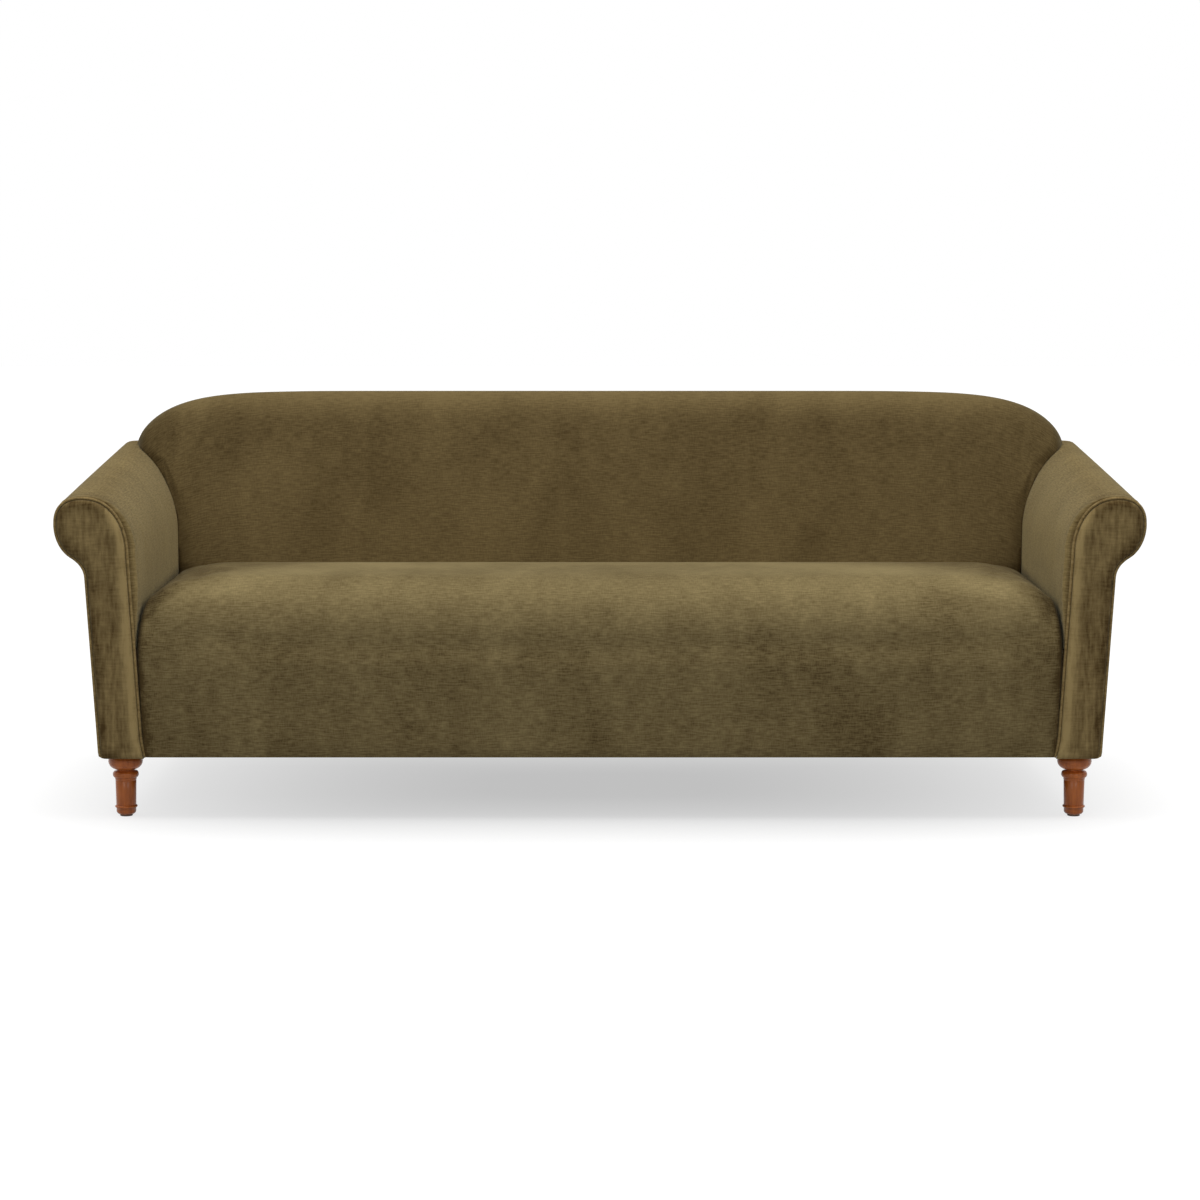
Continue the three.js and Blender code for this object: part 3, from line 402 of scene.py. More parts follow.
class Nodes:
    """A node tree in short calls: each method adds its nodes and gives back an output."""

    def __init__(self, tree):
        self.tree = tree

    def wire(self, value, socket):
        if isinstance(value, bpy.types.NodeSocket):
            self.tree.links.new(value, socket)
        else:
            socket.default_value = value

    def add(self, kind, out, inputs, **settings):
        node = self.tree.nodes.new(f"ShaderNode{kind}")
        for key, value in settings.items():
            setattr(node, key, value)
        for key, value in inputs.items():
            self.wire(value, node.inputs[key])
        return node.outputs[out]

    def place(self, stretch, source="Object"):
        return self.add("Mapping", 0, {"Vector": self.add("TexCoord", source, {}), "Scale": stretch})

    def noise(self, stretch, source="Object", detail=2.0, roughness=0.5, distortion=0.0):
        """Noise with about as many cells in a metre, along each axis, as the stretch says."""
        return self.add("TexNoise", "Fac", {
            "Vector": self.place(stretch, source), "Scale": 1.0, "Detail": detail, "Roughness": roughness,
            "Distortion": distortion})

    def spread(self, value, low, high, to_low=0.0, to_high=1.0):
        return self.add("MapRange", "Result", {
            "Value": value, "From Min": low, "From Max": high, "To Min": to_low, "To Max": to_high})

    def sum(self, *values, kind="ADD"):
        total = values[0]
        for value in values[1:]:
            total = self.add("Math", 0, {0: total, 1: value}, operation=kind)
        return total

    def times(self, *values):
        return self.sum(*values, kind="MULTIPLY")

    def blend(self, share, first, second):
        return self.add("Mix", 2, {0: share, 6: first, 7: second}, data_type="RGBA")

    def shown(self):
        """1 for rays from the camera, off gloss and through glass, 0 for the light that is sent on."""
        path = self.tree.nodes.new("ShaderNodeLightPath")
        rays = (path.outputs[f"Is {kind} Ray"] for kind in ("Camera", "Glossy", "Transmission"))
        return self.sum(*rays, kind="MAXIMUM")


class Finish(Nodes):
    """A material: its nodes, and the shader's own sockets by name."""

    def __init__(self, name):
        self.material = bpy.data.materials.new(name)
        self.material.use_nodes = True
        super().__init__(self.material.node_tree)
        self.shader = self.tree.nodes["Principled BSDF"]

    def set(self, **values):
        for key, value in values.items():
            self.wire(value, self.shader.inputs[key.replace("_", " ")])

    def bump(self, height, strength, distance):
        self.set(Normal=self.add("Bump", 0, {"Strength": strength, "Distance": distance, "Height": height}))


PILE_DARK = (0.070, 0.0430, 0.0150)
PILE_LIGHT = (0.318, 0.235, 0.102)
PILE_BLOOM = (0.88, 0.86, 0.62, 1)
PATCHES, BLOTCHES, TUFTS = (6, 6, 6), (34, 34, 34), (1100, 1100, 1100)
MOTTLE = (0.65, 0.35)


def velvet(name, shade=(1, 1, 1), streak=(45, 330), brush=(7, 3), contrast=1.0, bloom=0.22):
    """Short pile in olive: a tone from dark to light pile that adds up slubs along the weft and the warp,
    brushed patches, blotches and tufts, and the piece's painted light and shade in mottles. shade tints
    both ends of the tone, and a lighter copy paints light on the piece and a darker one shade; streak gives
    the slubs' frequency along and across the weft, brush that of the brushed patches, contrast how strong
    they are, and bloom how pale the pile turns at a glancing angle."""
    cloth = Finish(name)
    slubs = cloth.noise((*streak, 1), "UV", roughness=0.55)
    warp = cloth.noise((streak[1] * 1.4, streak[0] * 1.6, 1), "UV")
    stroked = cloth.noise((*brush, 1), "UV", detail=5.0, roughness=0.62, distortion=0.5)
    patches = cloth.noise(PATCHES, detail=5.0, roughness=0.62)
    blotches = cloth.noise(BLOTCHES, detail=4.0, roughness=0.65)
    tufts = cloth.noise(TUFTS, detail=1.0)
    painted_light_and_shade = cloth.add("Attribute", "Fac", {}, attribute_name="painted_light_and_shade")
    parts = ((slubs, 0.14, 0.15), (warp, 0.14, 0.08), (stroked, 0.2, 0.13 * contrast), (patches, 0.2, 0.08),
             (blotches, 0.2, 0.06 * contrast), (tufts, 0.2, 0.05))
    swings = [cloth.spread(part, 0.5 - reach, 0.5 + reach, -swing, swing) for part, reach, swing in parts]
    # the piece's painted light and shade, broken into mottles by the blotches, moves the tone
    tone = cloth.sum(*swings, cloth.times(painted_light_and_shade, cloth.spread(blotches, 0.3, 0.7, *MOTTLE)), 0.5)
    dark, light = ((*np.multiply(shade, pile), 1) for pile in (PILE_DARK, PILE_LIGHT))
    cloth.set(Base_Color=cloth.blend(tone, dark, light), Roughness=0.9, Specular_IOR_Level=0.03,
              Sheen_Weight=bloom, Sheen_Roughness=0.35, Sheen_Tint=PILE_BLOOM)
    relief = ((patches, 0.9), (stroked, 0.6), (blotches, 0.35), (slubs, 0.12), (tufts, 0.04))
    cloth.bump(cloth.sum(*(cloth.times(*part) for part in relief)), 0.5, 0.004)
    return cloth.material


def turned_wood():
    """Stained hardwood under a satin lacquer, with its grain along the leg."""
    wood = Finish("leg_wood")
    grain = wood.noise((60, 60, 7), detail=6.0, roughness=0.65, distortion=1.2)
    pores = wood.noise((420, 420, 24), detail=3.0)
    tone = wood.sum(wood.spread(grain, 0.3, 0.7), wood.spread(pores, 0.4, 0.7, 0.0, -0.25))
    wood.set(Base_Color=wood.blend(tone, (0.370, 0.092, 0.014, 1), (0.590, 0.168, 0.031, 1)),
             Roughness=wood.spread(grain, 0.3, 0.7, 0.26, 0.34), Specular_IOR_Level=0.25, Coat_Weight=0.1,
             Coat_Roughness=0.2)
    wood.bump(wood.sum(grain, pores), 0.10, 0.0006)
    return wood.material


def sawn_wood():
    """Unfinished frame timber with saw marks across the grain."""
    wood = Finish("frame_wood")
    grain = wood.noise((3, 40, 40), detail=6.0, roughness=0.6, distortion=0.8)
    saw = wood.noise((320, 6, 6))
    tone = wood.spread(grain, 0.3, 0.7)
    wood.set(Base_Color=wood.blend(tone, (0.36, 0.22, 0.11, 1), (0.58, 0.41, 0.23, 1)), Roughness=0.75)
    wood.bump(wood.sum(grain, wood.times(saw, 0.6)), 0.3, 0.0008)
    return wood.material


def drawn_steel():
    """Bright wire and rod with fine marks across its length."""
    steel = Finish("drawn_steel")
    marks = steel.noise((90, 90, 700), detail=3.0)
    steel.set(Base_Color=steel.blend(marks, (0.38, 0.38, 0.37, 1), (0.56, 0.56, 0.55, 1)), Metallic=1.0,
              Roughness=steel.spread(marks, 0.3, 0.7, 0.28, 0.45))
    steel.bump(marks, 0.1, 0.0003)
    return steel.material


def woven(name, dark, light, threads):
    """Plain weave from two crossed noises, each drawn out along its own run of threads."""
    cloth = Finish(name)
    warp, weft = cloth.noise((threads, 8, 8)), cloth.noise((8, threads, threads))
    tone = cloth.spread(cloth.times(warp, weft), 0.1, 0.45)
    cloth.set(Base_Color=cloth.blend(tone, dark, light), Roughness=0.95)
    cloth.bump(cloth.sum(warp, weft), 0.5, 0.0006)
    return cloth.material


def moulded_nylon():
    """Dark brown plastic with a fine speckle."""
    nylon = Finish("glide_nylon")
    speckle = nylon.noise((500, 500, 500))
    nylon.set(Base_Color=nylon.blend(speckle, (0.085, 0.040, 0.018, 1), (0.120, 0.060, 0.028, 1)),
              Roughness=nylon.spread(speckle, 0.3, 0.7, 0.38, 0.55))
    nylon.bump(speckle, 0.15, 0.0003)
    return nylon.material


# Arms, made at +X and mirrored

WALL_STEPS = 26
SHOULDER_STEPS = 26
ROLL_STEPS = 12
NECK_STEPS = 9


def crest(t, inset_inner, inset_roll, inset_outer, foot):
    """Arm section at shares t from front to rear, as arrays (stations, points, 2) of x and z: up the leaning
    wall, over a superelliptic shoulder and roll, then a quadratic curve into the outer wall.
    The insets may differ from station to station."""
    t = np.asarray(t, dtype=float)[:, None]
    inner, roll, outer = (np.broadcast_to(inset, t.shape[:1])[:, None]
                          for inset in (inset_inner, inset_roll, inset_outer))
    crest_x = CREST_X + CREST_SHIFT * t
    crest_z = ARM_HEIGHT + ARM_CLIMB * t
    centre = crest_z - ROLL_RISE
    wall_z = np.linspace(foot, SHOULDER_START, WALL_STEPS, endpoint=False) + 0 * t
    wall = np.stack([inner_x(wall_z) + inner, wall_z], 2)
    power = mix(*SHOULDER_POWERS, t)
    reach = crest_x - inner_x(SHOULDER_START) - inner
    climb = crest_z - SHOULDER_START - roll
    angle = quarter(SHOULDER_STEPS, endpoint=False)[None]
    shoulder = np.stack([crest_x - reach * np.cos(angle) ** (2 / power),
                         SHOULDER_START + climb * np.sin(angle) ** (2 / power)], 2)
    wide = HALF_WIDTH - crest_x - roll
    angle = quarter(ROLL_STEPS, endpoint=False)[None]
    full = mix(*ROLL_POWERS, t)
    over = np.stack([crest_x + wide * np.sin(angle) ** (2 / full),
                     centre + (ROLL_RISE - roll) * np.cos(angle) ** (2 / full)], 2)
    drop = ROLL_DROP - roll
    angle = np.linspace(0, NECK_ANGLE, ROLL_STEPS, endpoint=False)[None]
    under = np.stack([crest_x + wide * np.cos(angle), centre - drop * np.sin(angle)], 2)
    start_x = crest_x + wide * np.cos(NECK_ANGLE)
    start_z = centre - drop * np.sin(NECK_ANGLE)
    slope = drop * np.cos(NECK_ANGLE) / (wide * np.sin(NECK_ANGLE))
    side = outer_x(start_z) - outer
    corner_z = start_z - (start_x - side) * slope
    end_z = corner_z - NECK_FILLET
    end_x = outer_x(end_z) - outer
    u = np.linspace(0, 1, NECK_STEPS)[None]
    first, second, third = (1 - u) ** 2, 2 * u * (1 - u), u ** 2
    hollow = np.stack([first * start_x + second * side + third * end_x,
                       first * start_z + second * corner_z + third * end_z], 2)
    return np.concatenate([wall, shoulder, over, under, hollow], 1)


def at_depth(section, t):
    """Puts sections (stations, points, 2) at their depth: the rear end follows the rake of the back."""
    return np.insert(section, 1, mix(ARM_FRONT, post_rear_y(section[:, :, 1]), t[:, None]), axis=2)


ARM_LENGTH = post_rear_y(ROLL_CENTRE) - ARM_FRONT


def arm_stations():
    """Shares along the arm: a fine quarter-round start behind the welt, then even steps of about 12 mm."""
    near = [0, 0.0006, 0.0015, 0.003, 0.005, 0.0075, 0.0105, 0.014, 0.018, 0.022, 0.027, 0.033, 0.040]
    far = np.linspace(0.050, ARM_LENGTH, 68)
    return np.concatenate([near, far]) / ARM_LENGTH


SEAM_DEPTH = 0.005
BAND_WIDTH = 0.016
BAND_PROUD = 0.011
REAR_PROUD = 0.005
BAND_TOP = 0.36
BAND_FALL = 0.6
END_SUNK = 0.003
END_ROUNDING = 0.006


def proud(distance):
    """How far the inner side of the arm stands in from the welt: a sunk seam, a quarter-round padded band,
    then a slow fall towards the back."""
    band = 1 - round_off(1 - np.clip(distance / BAND_WIDTH, 0, 1))
    fall = mix(BAND_PROUD, REAR_PROUD, np.clip((distance - BAND_WIDTH) / (ARM_LENGTH * BAND_FALL), 0, 1))
    return -SEAM_DEPTH + (SEAM_DEPTH + fall) * band


def low_share(z):
    """Low down the seat holds the band back: nothing at the seat rail, and the whole band from BAND_TOP."""
    return eased((z - RAIL_TOP) / (BAND_TOP - RAIL_TOP))


def arm_skin(t, grow=0.0, foot=0.0):
    """Outer skin of the arm: its section swelled on the inner side by the padded band, and drawn in on a
    quarter round at the welt. Low down the wall goes back to its line, where the seat holds it."""
    distance = np.clip(t, 0, 1) * ARM_LENGTH
    swell = proud(distance)
    sunk = END_SUNK * round_off(1 - distance / END_ROUNDING)
    section = crest(t, -swell - grow, sunk - grow, sunk - grow, foot)
    wall = section[:, :WALL_STEPS]
    wall[:, :, 0] += (1 - low_share(wall[:, :, 1])) * np.maximum(swell, 0)[:, None]
    return section


PUCKER_DEPTH = 0.0012
PUCKER_PLACE = (0.030, 0.012)
PUCKER_LENGTHS = (0.017, 0.0105)
PUCKER_DRIFT = 37
HELD_STATIONS = 22
CLEAR_OF_FACE = 0.02


def arm_cover():
    """Inside arm and roll: the arm's skin along the stations, moved in and out behind the welt by small
    puckers (two sine waves round the section under a bell along the arm), then back along the lining."""
    t = arm_stations()
    foot = RAIL_TOP + GAP
    skin = arm_skin(t, foot=foot)
    along = np.cumsum(np.linalg.norm(np.diff(skin, axis=1, prepend=skin[:, :1]), axis=2), axis=1)
    long, short = (along * 2 * np.pi / length for length in PUCKER_LENGTHS)
    gathers = np.sin(long + 2.0 * np.sin(along * PUCKER_DRIFT)) + 0.6 * np.sin(short)
    depth = PUCKER_DEPTH * bell(t * ARM_LENGTH, *PUCKER_PLACE)[:, None] * gathers
    ahead = np.gradient(skin, axis=1)
    ahead /= np.maximum(np.linalg.norm(ahead, axis=2, keepdims=True), 1e-9)
    skin = skin + np.stack([ahead[:, :, 1], -ahead[:, :, 0]], 2) * depth[:, :, None]
    lining = crest(t, INNER_PADDING, ROLL_PADDING, OUTSIDE_PANEL, foot)
    lip = np.stack([outer_x(skin[:, -1, 1]) - OUTSIDE_PANEL, skin[:, -1, 1]], 1)[:, None]
    section = np.concatenate([skin, lip, lining[:, ::-1][:, 1:]], 1)
    cover = Cover("arm_cover_right", at_depth(section, t))
    rows, columns = cover.shape
    row, column = np.divmod(np.arange(rows * columns), columns)
    flat = cover.grid().reshape(-1, 3)
    beside = (flat[:, 2] < SEAT_CREST) | (flat[:, 1] > face_y(flat[:, 2]) - CLEAR_OF_FACE)
    over_crest = column > WALL_STEPS + SHOULDER_STEPS - 4
    return cover, over_crest | (row < HELD_STATIONS) | (row > rows - 3) | beside


HEM_CORNER = 0.011
HEM_FLARE = 0.006
FLARE_HEIGHT = 0.045
ARM_HEM = -0.003


def front_outline(inset, foot):
    """The arm outline at the front, set in all round: it flares inwards at the foot of the inner side and
    turns under on a quarter round at the foot of the outer side."""
    line = crest([0.0], inset, inset, inset, foot)[0]
    flare = HEM_FLARE * np.clip(1 - line[:, 1] / FLARE_HEIGHT, 0, 1) ** 2
    line[:, 0] -= np.where(line[:, 0] < CREST_X, flare, 0)
    radius = max(HEM_CORNER - 0.3 * inset, 0.004)
    side = outer_x(foot) - inset
    turn = quarter(7)
    corner = np.column_stack([side - radius * (1 - np.cos(turn)), foot + radius * (1 - np.sin(turn))])
    return np.concatenate([line, corner])


FACING_DRAW = (0.014, 0.036)
FACING_CROWN = 0.0012
CROWN_REACH = 0.025


def facing():
    """The arm front: rings of the arm outline drawn in towards the middle, on a quarter-round edge and a
    face that crowns by the square root of the draw."""
    edge = 2 * WELT_RADIUS + GAP
    rounding = FACING_THICKNESS - WELT_RADIUS
    angle = quarter(9)[1:]
    draw = np.concatenate([[0, 0], rounding * (1 - np.cos(angle)), np.linspace(*FACING_DRAW, 9)])
    face = np.full(9, FACING_THICKNESS)
    out = np.concatenate([[0, WELT_RADIUS], WELT_RADIUS + rounding * np.sin(angle), face])
    out = out + FACING_CROWN * np.clip((draw - rounding) / CROWN_REACH, 0, 1) ** 0.5
    rings = []
    for inset, rise in zip(draw, out):
        ring = front_outline(edge + inset, ARM_HEM + inset)
        rings.append(np.insert(ring, 1, FRONT + FACING_THICKNESS - rise, axis=1))
    cover = Cover("arm_front_right", np.array(rings))
    map_from_front(cover.object)
    paint_light_and_shade(cover.object, facing_light_and_shade(cover.grid(), (draw + edge)[:, None]).ravel())
    return cover.object


def resampled(line, spacing):
    """The line again with its points an even spacing apart."""
    length = np.concatenate([[0], np.cumsum(np.linalg.norm(np.diff(line, axis=0), axis=1))])
    even = np.linspace(0, length[-1], int(length[-1] / spacing) + 1)
    return np.stack([np.interp(even, length, column) for column in line.T], 1)


WELT_SPACING = 0.004


def welt():
    """The covered cord: circles round the arm's outline at the back of the facing, each lying between the
    outline's own normal and the line from front to rear."""
    flat = resampled(front_outline(WELT_RADIUS, ARM_HEM + WELT_RADIUS), WELT_SPACING)
    ahead = np.gradient(flat, axis=0)
    ahead /= np.linalg.norm(ahead, axis=1, keepdims=True)
    angle = np.linspace(0, 2 * np.pi, 14, endpoint=False)
    out = WELT_RADIUS * np.cos(angle)
    back = FRONT + FACING_THICKNESS - WELT_RADIUS + WELT_RADIUS * np.sin(angle) + 0 * ahead[:, :1]
    grid = np.stack([flat[:, :1] - ahead[:, 1:] * out, back, flat[:, 1:] + ahead[:, :1] * out], 2)
    return Cover("arm_welt_right", grid).object


PANEL_EDGE = 0.004
PANEL_PUFF = 0.0015


def outside_arm():
    """The leaning outer panel: a grid from front to rear whose edges turn in on a quarter round, and whose
    face puffs out by a sine each way."""
    low, high = crest([0.0, 1.0], 0.0, 0.0, 0.0, 0.0)[:, -1, 1] - GAP
    turn = PANEL_EDGE
    ease = turn * (1 - np.cos(quarter(7)))
    length = post_rear_y(0.0) - ARM_FRONT
    s = np.concatenate([ease, np.linspace(turn, length - turn, 60)[1:-1], length - ease[::-1]]) / length
    rows = []
    for share in s:
        top = mix(low, high, share)
        z = np.concatenate([ease, np.linspace(turn, top - turn, 30)[1:-1], top - ease[::-1]])
        edge = np.minimum(np.minimum(z, top - z), np.minimum(share, 1 - share) * length)
        out = OUTSIDE_PANEL - turn * round_off(1 - edge / turn)
        puff = PANEL_PUFF * np.sin(np.pi * share) * np.sin(np.pi * z / top)
        y = mix(ARM_FRONT, post_rear_y(z), share)
        outer = np.column_stack([outer_x(z) - OUTSIDE_PANEL + out + puff, y, z])
        inner = np.column_stack([outer_x(z) - OUTSIDE_PANEL, y, z])[::-1]
        rows.append(np.concatenate([outer, inner]))
    return Cover("outside_arm_cover_right", np.array(rows), run=s * length).object


# Back

def rib_y(z):
    foot = SEAT_BACK_Y + REAR_RAIL_SETBACK + BOARD + GAP
    head_z = TOP - TOP_RAIL_DROP
    head = post_front_y(head_z) - RIB_HEAD_DEPTH
    return mix(foot, head, (z - RAIL_TOP) / (head_z - RAIL_TOP))


def tack_front(z):
    return rib_y(z) - GAP - BACK_TACK_THICKNESS


def arm_edge(y, z):
    """Where the arm's inner side is at a depth and a height: the leaning wall, then its shoulder curve."""
    t = np.clip((y - ARM_FRONT) / (post_rear_y(z) - ARM_FRONT), 0, 1)
    power = mix(*SHOULDER_POWERS, t)
    crest_x = CREST_X + CREST_SHIFT * t
    climb = ARM_HEIGHT + ARM_CLIMB * t - SHOULDER_START
    reach = crest_x - inner_x(SHOULDER_START)
    up = np.clip((z - SHOULDER_START) / climb, 0, 1)
    shoulder = crest_x - reach * (1 - up ** power) ** (1 / power)
    return np.where(z < SHOULDER_START, inner_x(z), shoulder) - REAR_PROUD


ROLL_FULLNESS = 0.85
CREVICE_WIDTH = 0.024
CREVICE_DEPTH = 0.014
CREVICE_START = 0.04
HELD_BY_ARM = 0.03


def back_cover():
    """The tight back: sections across x, each up the crowned face, over a conic top roll and down behind
    it, then round the frame. Near the arms the face sinks on an S curve."""
    side = BACK_HALF * np.cos(quarter(20)) ** (2 / CAMEL_SIDE_POWER)
    x = across(side[:-1], 60)
    distance = np.abs(x)[:, None]
    share = distance / BACK_HALF
    top = camel_top(x)[:, None]
    buried = np.clip((distance - inner_x(SHOULDER_START)) / INNER_PADDING, 0, 1)
    foot = mix(DECK, BACK_SHOULDER - SHOULDER_ROOT, buried)
    shoulder = top - TOP_ROLL_FRONT
    hook_end = top - TOP_ROLL_REAR
    crest_y = rear_y(hook_end) - TOP_ROLL_SETBACK
    turned = round_off((distance - BACK_HALF + TOP_ROLL_FRONT) / TOP_ROLL_FRONT)
    seam = np.maximum(SEAT_BACK_HEIGHT, mix(foot, shoulder, FACE_SEAM))
    z = np.concatenate([mix(foot, seam, np.linspace(0, 1, 8, endpoint=False)[None]),
                        mix(seam, shoulder, np.linspace(0, 1, 30)[None])], 1)
    rise = np.clip((z - SEAT_BACK_HEIGHT) / (shoulder - SEAT_BACK_HEIGHT), 0, 1)
    crown = BACK_CROWN * np.sin(np.pi * rise) * (1 - share ** CROWN_SIDE_POWER)
    end = np.minimum(crest_y, tack_front(z) - WEBBING_THICKNESS)
    y = mix(face_y(z) - crown, end, turned)
    gap_to_arm = arm_edge(y, z) - distance
    below = eased((BACK_SHOULDER - z) / CREVICE_START)
    y = y + below * CREVICE_DEPTH * eased(1 - gap_to_arm / CREVICE_WIDTH)
    face = np.stack([y, z], 2)
    slope = (y[:, -1:] - y[:, -2:-1]) / (z[:, -1:] - z[:, -2:-1])
    corner_y = np.clip(y[:, -1:] + slope * TOP_ROLL_FRONT, y[:, -1:], crest_y)
    u = np.linspace(0, 1, 14)[None, 1:]
    first, middle_share, last = (1 - u) ** 2, 2 * ROLL_FULLNESS * u * (1 - u), u ** 2
    whole = first + middle_share + last
    over = np.stack([(first * y[:, -1:] + middle_share * corner_y + last * crest_y) / whole,
                     (first * shoulder + (middle_share + last) * top) / whole], 2)
    a = quarter(13)[None, 1:]
    behind = np.stack([crest_y + TOP_ROLL_SETBACK * np.sin(a), hook_end + TOP_ROLL_REAR * np.cos(a)], 2)
    roof = top - TOP_RAIL_COVER
    ledge = np.minimum(np.maximum(TOP - TOP_RAIL_DROP, foot) + GAP, roof - GAP)
    shelf = np.maximum(DECK + GAP + BACK_TACK_HEIGHT + GAP, foot + GAP)
    hidden = [
        (post_rear_y(hook_end) + GAP, hook_end), (post_rear_y(roof) + GAP, roof),
        (post_front_y(roof) - GAP, roof), (post_front_y(ledge) - GAP, ledge),
        (rib_y(ledge) - WEBBING_THICKNESS - 2 * GAP, ledge),
        (rib_y(shelf) - WEBBING_THICKNESS - 2 * GAP, shelf),
        (tack_front(shelf) - GAP, shelf), (tack_front(foot) - GAP, foot),
    ]
    inside = np.stack([np.concatenate(column, 1) for column in zip(*hidden)], 2)
    section = np.concatenate([face, over, behind, inside], 1)
    grid = np.insert(section, 0, x[:, None], axis=2)
    cover = Cover("back_cover", grid, origin=face.shape[1] - 1)
    column = np.tile(np.arange(grid.shape[1]), len(x))
    flat = grid.reshape(-1, 3)
    aside = np.abs(flat[:, 0])
    beside = (arm_edge(flat[:, 1], flat[:, 2]) - aside < HELD_BY_ARM) | (aside > inner_x(SEAT_CREST))
    return cover, (column < 10) | (column > face.shape[1] + 1) | beside


CUTTER_GAP = 0.0006


def arm_solid(grow):
    """The whole arm, a clearance larger than the real one and run past the back, to trim the back cover."""
    t = np.linspace(0, 1.08, 40)
    section = arm_skin(t, grow)
    ground = np.stack([np.full(len(t), outer_x(0.0) + grow), np.zeros(len(t))], 1)[:, None]
    return Cover("arm_cutter", at_depth(np.concatenate([section, ground], 1), t)).object


def trim(piece, cutter):
    """Cuts the piece back from a solid and deletes the solid."""
    cut = piece.modifiers.new("trim", "BOOLEAN")
    cut.operation = "DIFFERENCE"
    cut.solver = "MANIFOLD"
    cut.object = cutter
    bake(piece)
    bpy.data.objects.remove(cutter)


# Seat

SEAT_CORNER = 0.014
SEAT_CORNER_DEPTHS = (0.006, 0.018)
SEAT_CORNER_TOP = 0.25
SEAT_REAR_ROUNDING = 0.014
REAR_TUCK = 0.7
SEAT_HEM = 0.004
BORDER_SWELL = 0.002


def corner_depth(z):
    """How far the front corner of the seat is drawn back: more towards the top of the border."""
    return mix(*SEAT_CORNER_DEPTHS, np.clip(z / SEAT_CORNER_TOP, 0, 1))


def seat_cover():
    """The tight seat: sections across x, each up the front border, over an elliptic front roll, back along
    the crowned top and under it. The sides round down to the arms, and the front corners turn in."""
    half = inner_x(SEAT_CREST) - BAND_PROUD - GAP
    x = across(half - SEAT_SIDE_ROUNDING * (1 - np.sin(quarter(16)[::-1])), 62)
    distance = np.abs(x)[:, None]
    drop = round_off((distance - half + SEAT_SIDE_ROUNDING) / SEAT_SIDE_ROUNDING)
    front = mix(SEAT_CREST, SEAT_SIDE_FRONT, drop)
    rear = mix(SEAT_BACK_HEIGHT, SEAT_SIDE_REAR, drop)
    turned = round_off(1 - (half - distance) / SEAT_CORNER)
    roll_base = front - SEAT_ROLL_HEIGHT
    a = quarter(5)[None, :-1]
    hem_y = BORDER_FRONT + turned * corner_depth(SEAT_HEM) + SEAT_HEM * (1 - np.sin(a))
    hem_z = SEAT_HEM * (1 - np.cos(a))
    up = np.linspace(0, 1, 17)[None, :-1]
    border_z = mix(SEAT_HEM, roll_base, up)
    border_y = BORDER_FRONT + turned * corner_depth(border_z) - BORDER_SWELL * np.sin(np.pi * up)
    a = quarter(19)[None]
    tuck = turned * corner_depth(roll_base)
    roll_y = BORDER_FRONT + tuck + (SEAT_ROLL_DEPTH - tuck) * (1 - np.cos(a))
    roll_z = roll_base + SEAT_ROLL_HEIGHT * np.sin(a)
    start, stop = BORDER_FRONT + SEAT_ROLL_DEPTH, SEAT_BACK_Y - GAP
    s = np.linspace(0, 1, 37)[None, 1:]
    top_y = mix(start, stop, s)
    crease = SEAT_REAR_ROUNDING * round_off(1 - (stop - top_y) / SEAT_REAR_ROUNDING)
    top_z = mix(front, rear, s ** 2) - REAR_TUCK * crease
    down, under, up = (np.linspace(0, 1, count)[None, 1:] for count in (8, 30, 12))
    inner_y = BORDER_FRONT + BORDER_THICKNESS
    runs = [(hem_y, hem_z), (border_y, border_z), (roll_y, roll_z), (top_y, top_z)]
    shown = sum(run[0].shape[1] for run in runs)
    runs += [(stop, mix(top_z[:, -1:], DECK, down)), (mix(stop, inner_y, under), DECK),
             (inner_y, mix(DECK, 0, up))]
    y, z = (np.concatenate(part, 1) for part in zip(*(np.broadcast_arrays(*run, x[:, None])[:2]
                                                      for run in runs)))
    swell = np.maximum(proud(np.maximum(y - ARM_FRONT, BAND_WIDTH)), 0) * low_share(z)
    place = (x[:, None] / half) * (inner_x(z) - swell - 2 * GAP)
    grid = np.stack([place, y, z], 2)
    cover = Cover("seat_cover", grid)
    rows, columns = cover.shape
    row, column = np.divmod(np.arange(rows * columns), columns)
    return cover, (column < 4) | (column > shown - 4) | (row < 6) | (row > rows - 7)


# Outside back

def outline_of_back():
    """Right half of the outside back from the bottom middle: the foot, the arm's rear outline up to where the
    camelback crosses it, then the camelback below its roll. Mirrored for the left half."""
    arm = crest([1.0], OUTSIDE_PANEL, OUTSIDE_PANEL, 0.0, 0.0)[0][::-1]
    arm = np.concatenate([[[outer_x(0.0), 0.0]], arm])
    x = BACK_HALF * np.cos(quarter(60)) ** (2 / CAMEL_SIDE_POWER)
    camel = np.column_stack([x, camel_top(x) - TOP_ROLL_REAR - GAP])
    camel = camel[camel[:, 0] < CREST_X]
    above = arm[:, 1] > np.interp(arm[:, 0], camel[::-1, 0], camel[::-1, 1], right=0)
    keep = arm[:np.flatnonzero(above)[-1] + 1]
    camel = camel[camel[:, 0] < keep[-1, 0] - 0.0005]
    half = np.concatenate([[[0.0, 0.0]], resampled(keep, 0.006), resampled(camel, 0.012)])
    return np.concatenate([half, half[1:][::-1] * [-1, 1]])


def outside_back():
    """A raked board: rings of the back's outline, the rear ones drawn in on a quarter round."""
    outline = outline_of_back()
    ahead = np.roll(outline, -1, axis=0) - np.roll(outline, 1, axis=0)
    ahead /= np.linalg.norm(ahead, axis=1, keepdims=True)
    inward = np.column_stack([-ahead[:, 1], ahead[:, 0]])
    draws = np.concatenate([[0], PANEL_EDGE * (1 - np.cos(quarter(6)))])
    depths = np.concatenate([[OUTSIDE_BACK_THICKNESS], PANEL_EDGE * (1 - np.sin(quarter(6)))])
    place = outline + inward * draws[:, None, None]
    x, z = place[:, :, 0], np.maximum(place[:, :, 1], 0)
    piece = Cover("outside_back_cover", np.stack([x, rear_y(z) - depths[:, None], z], 2)).object
    map_from_front(piece)
    return piece


# Legs

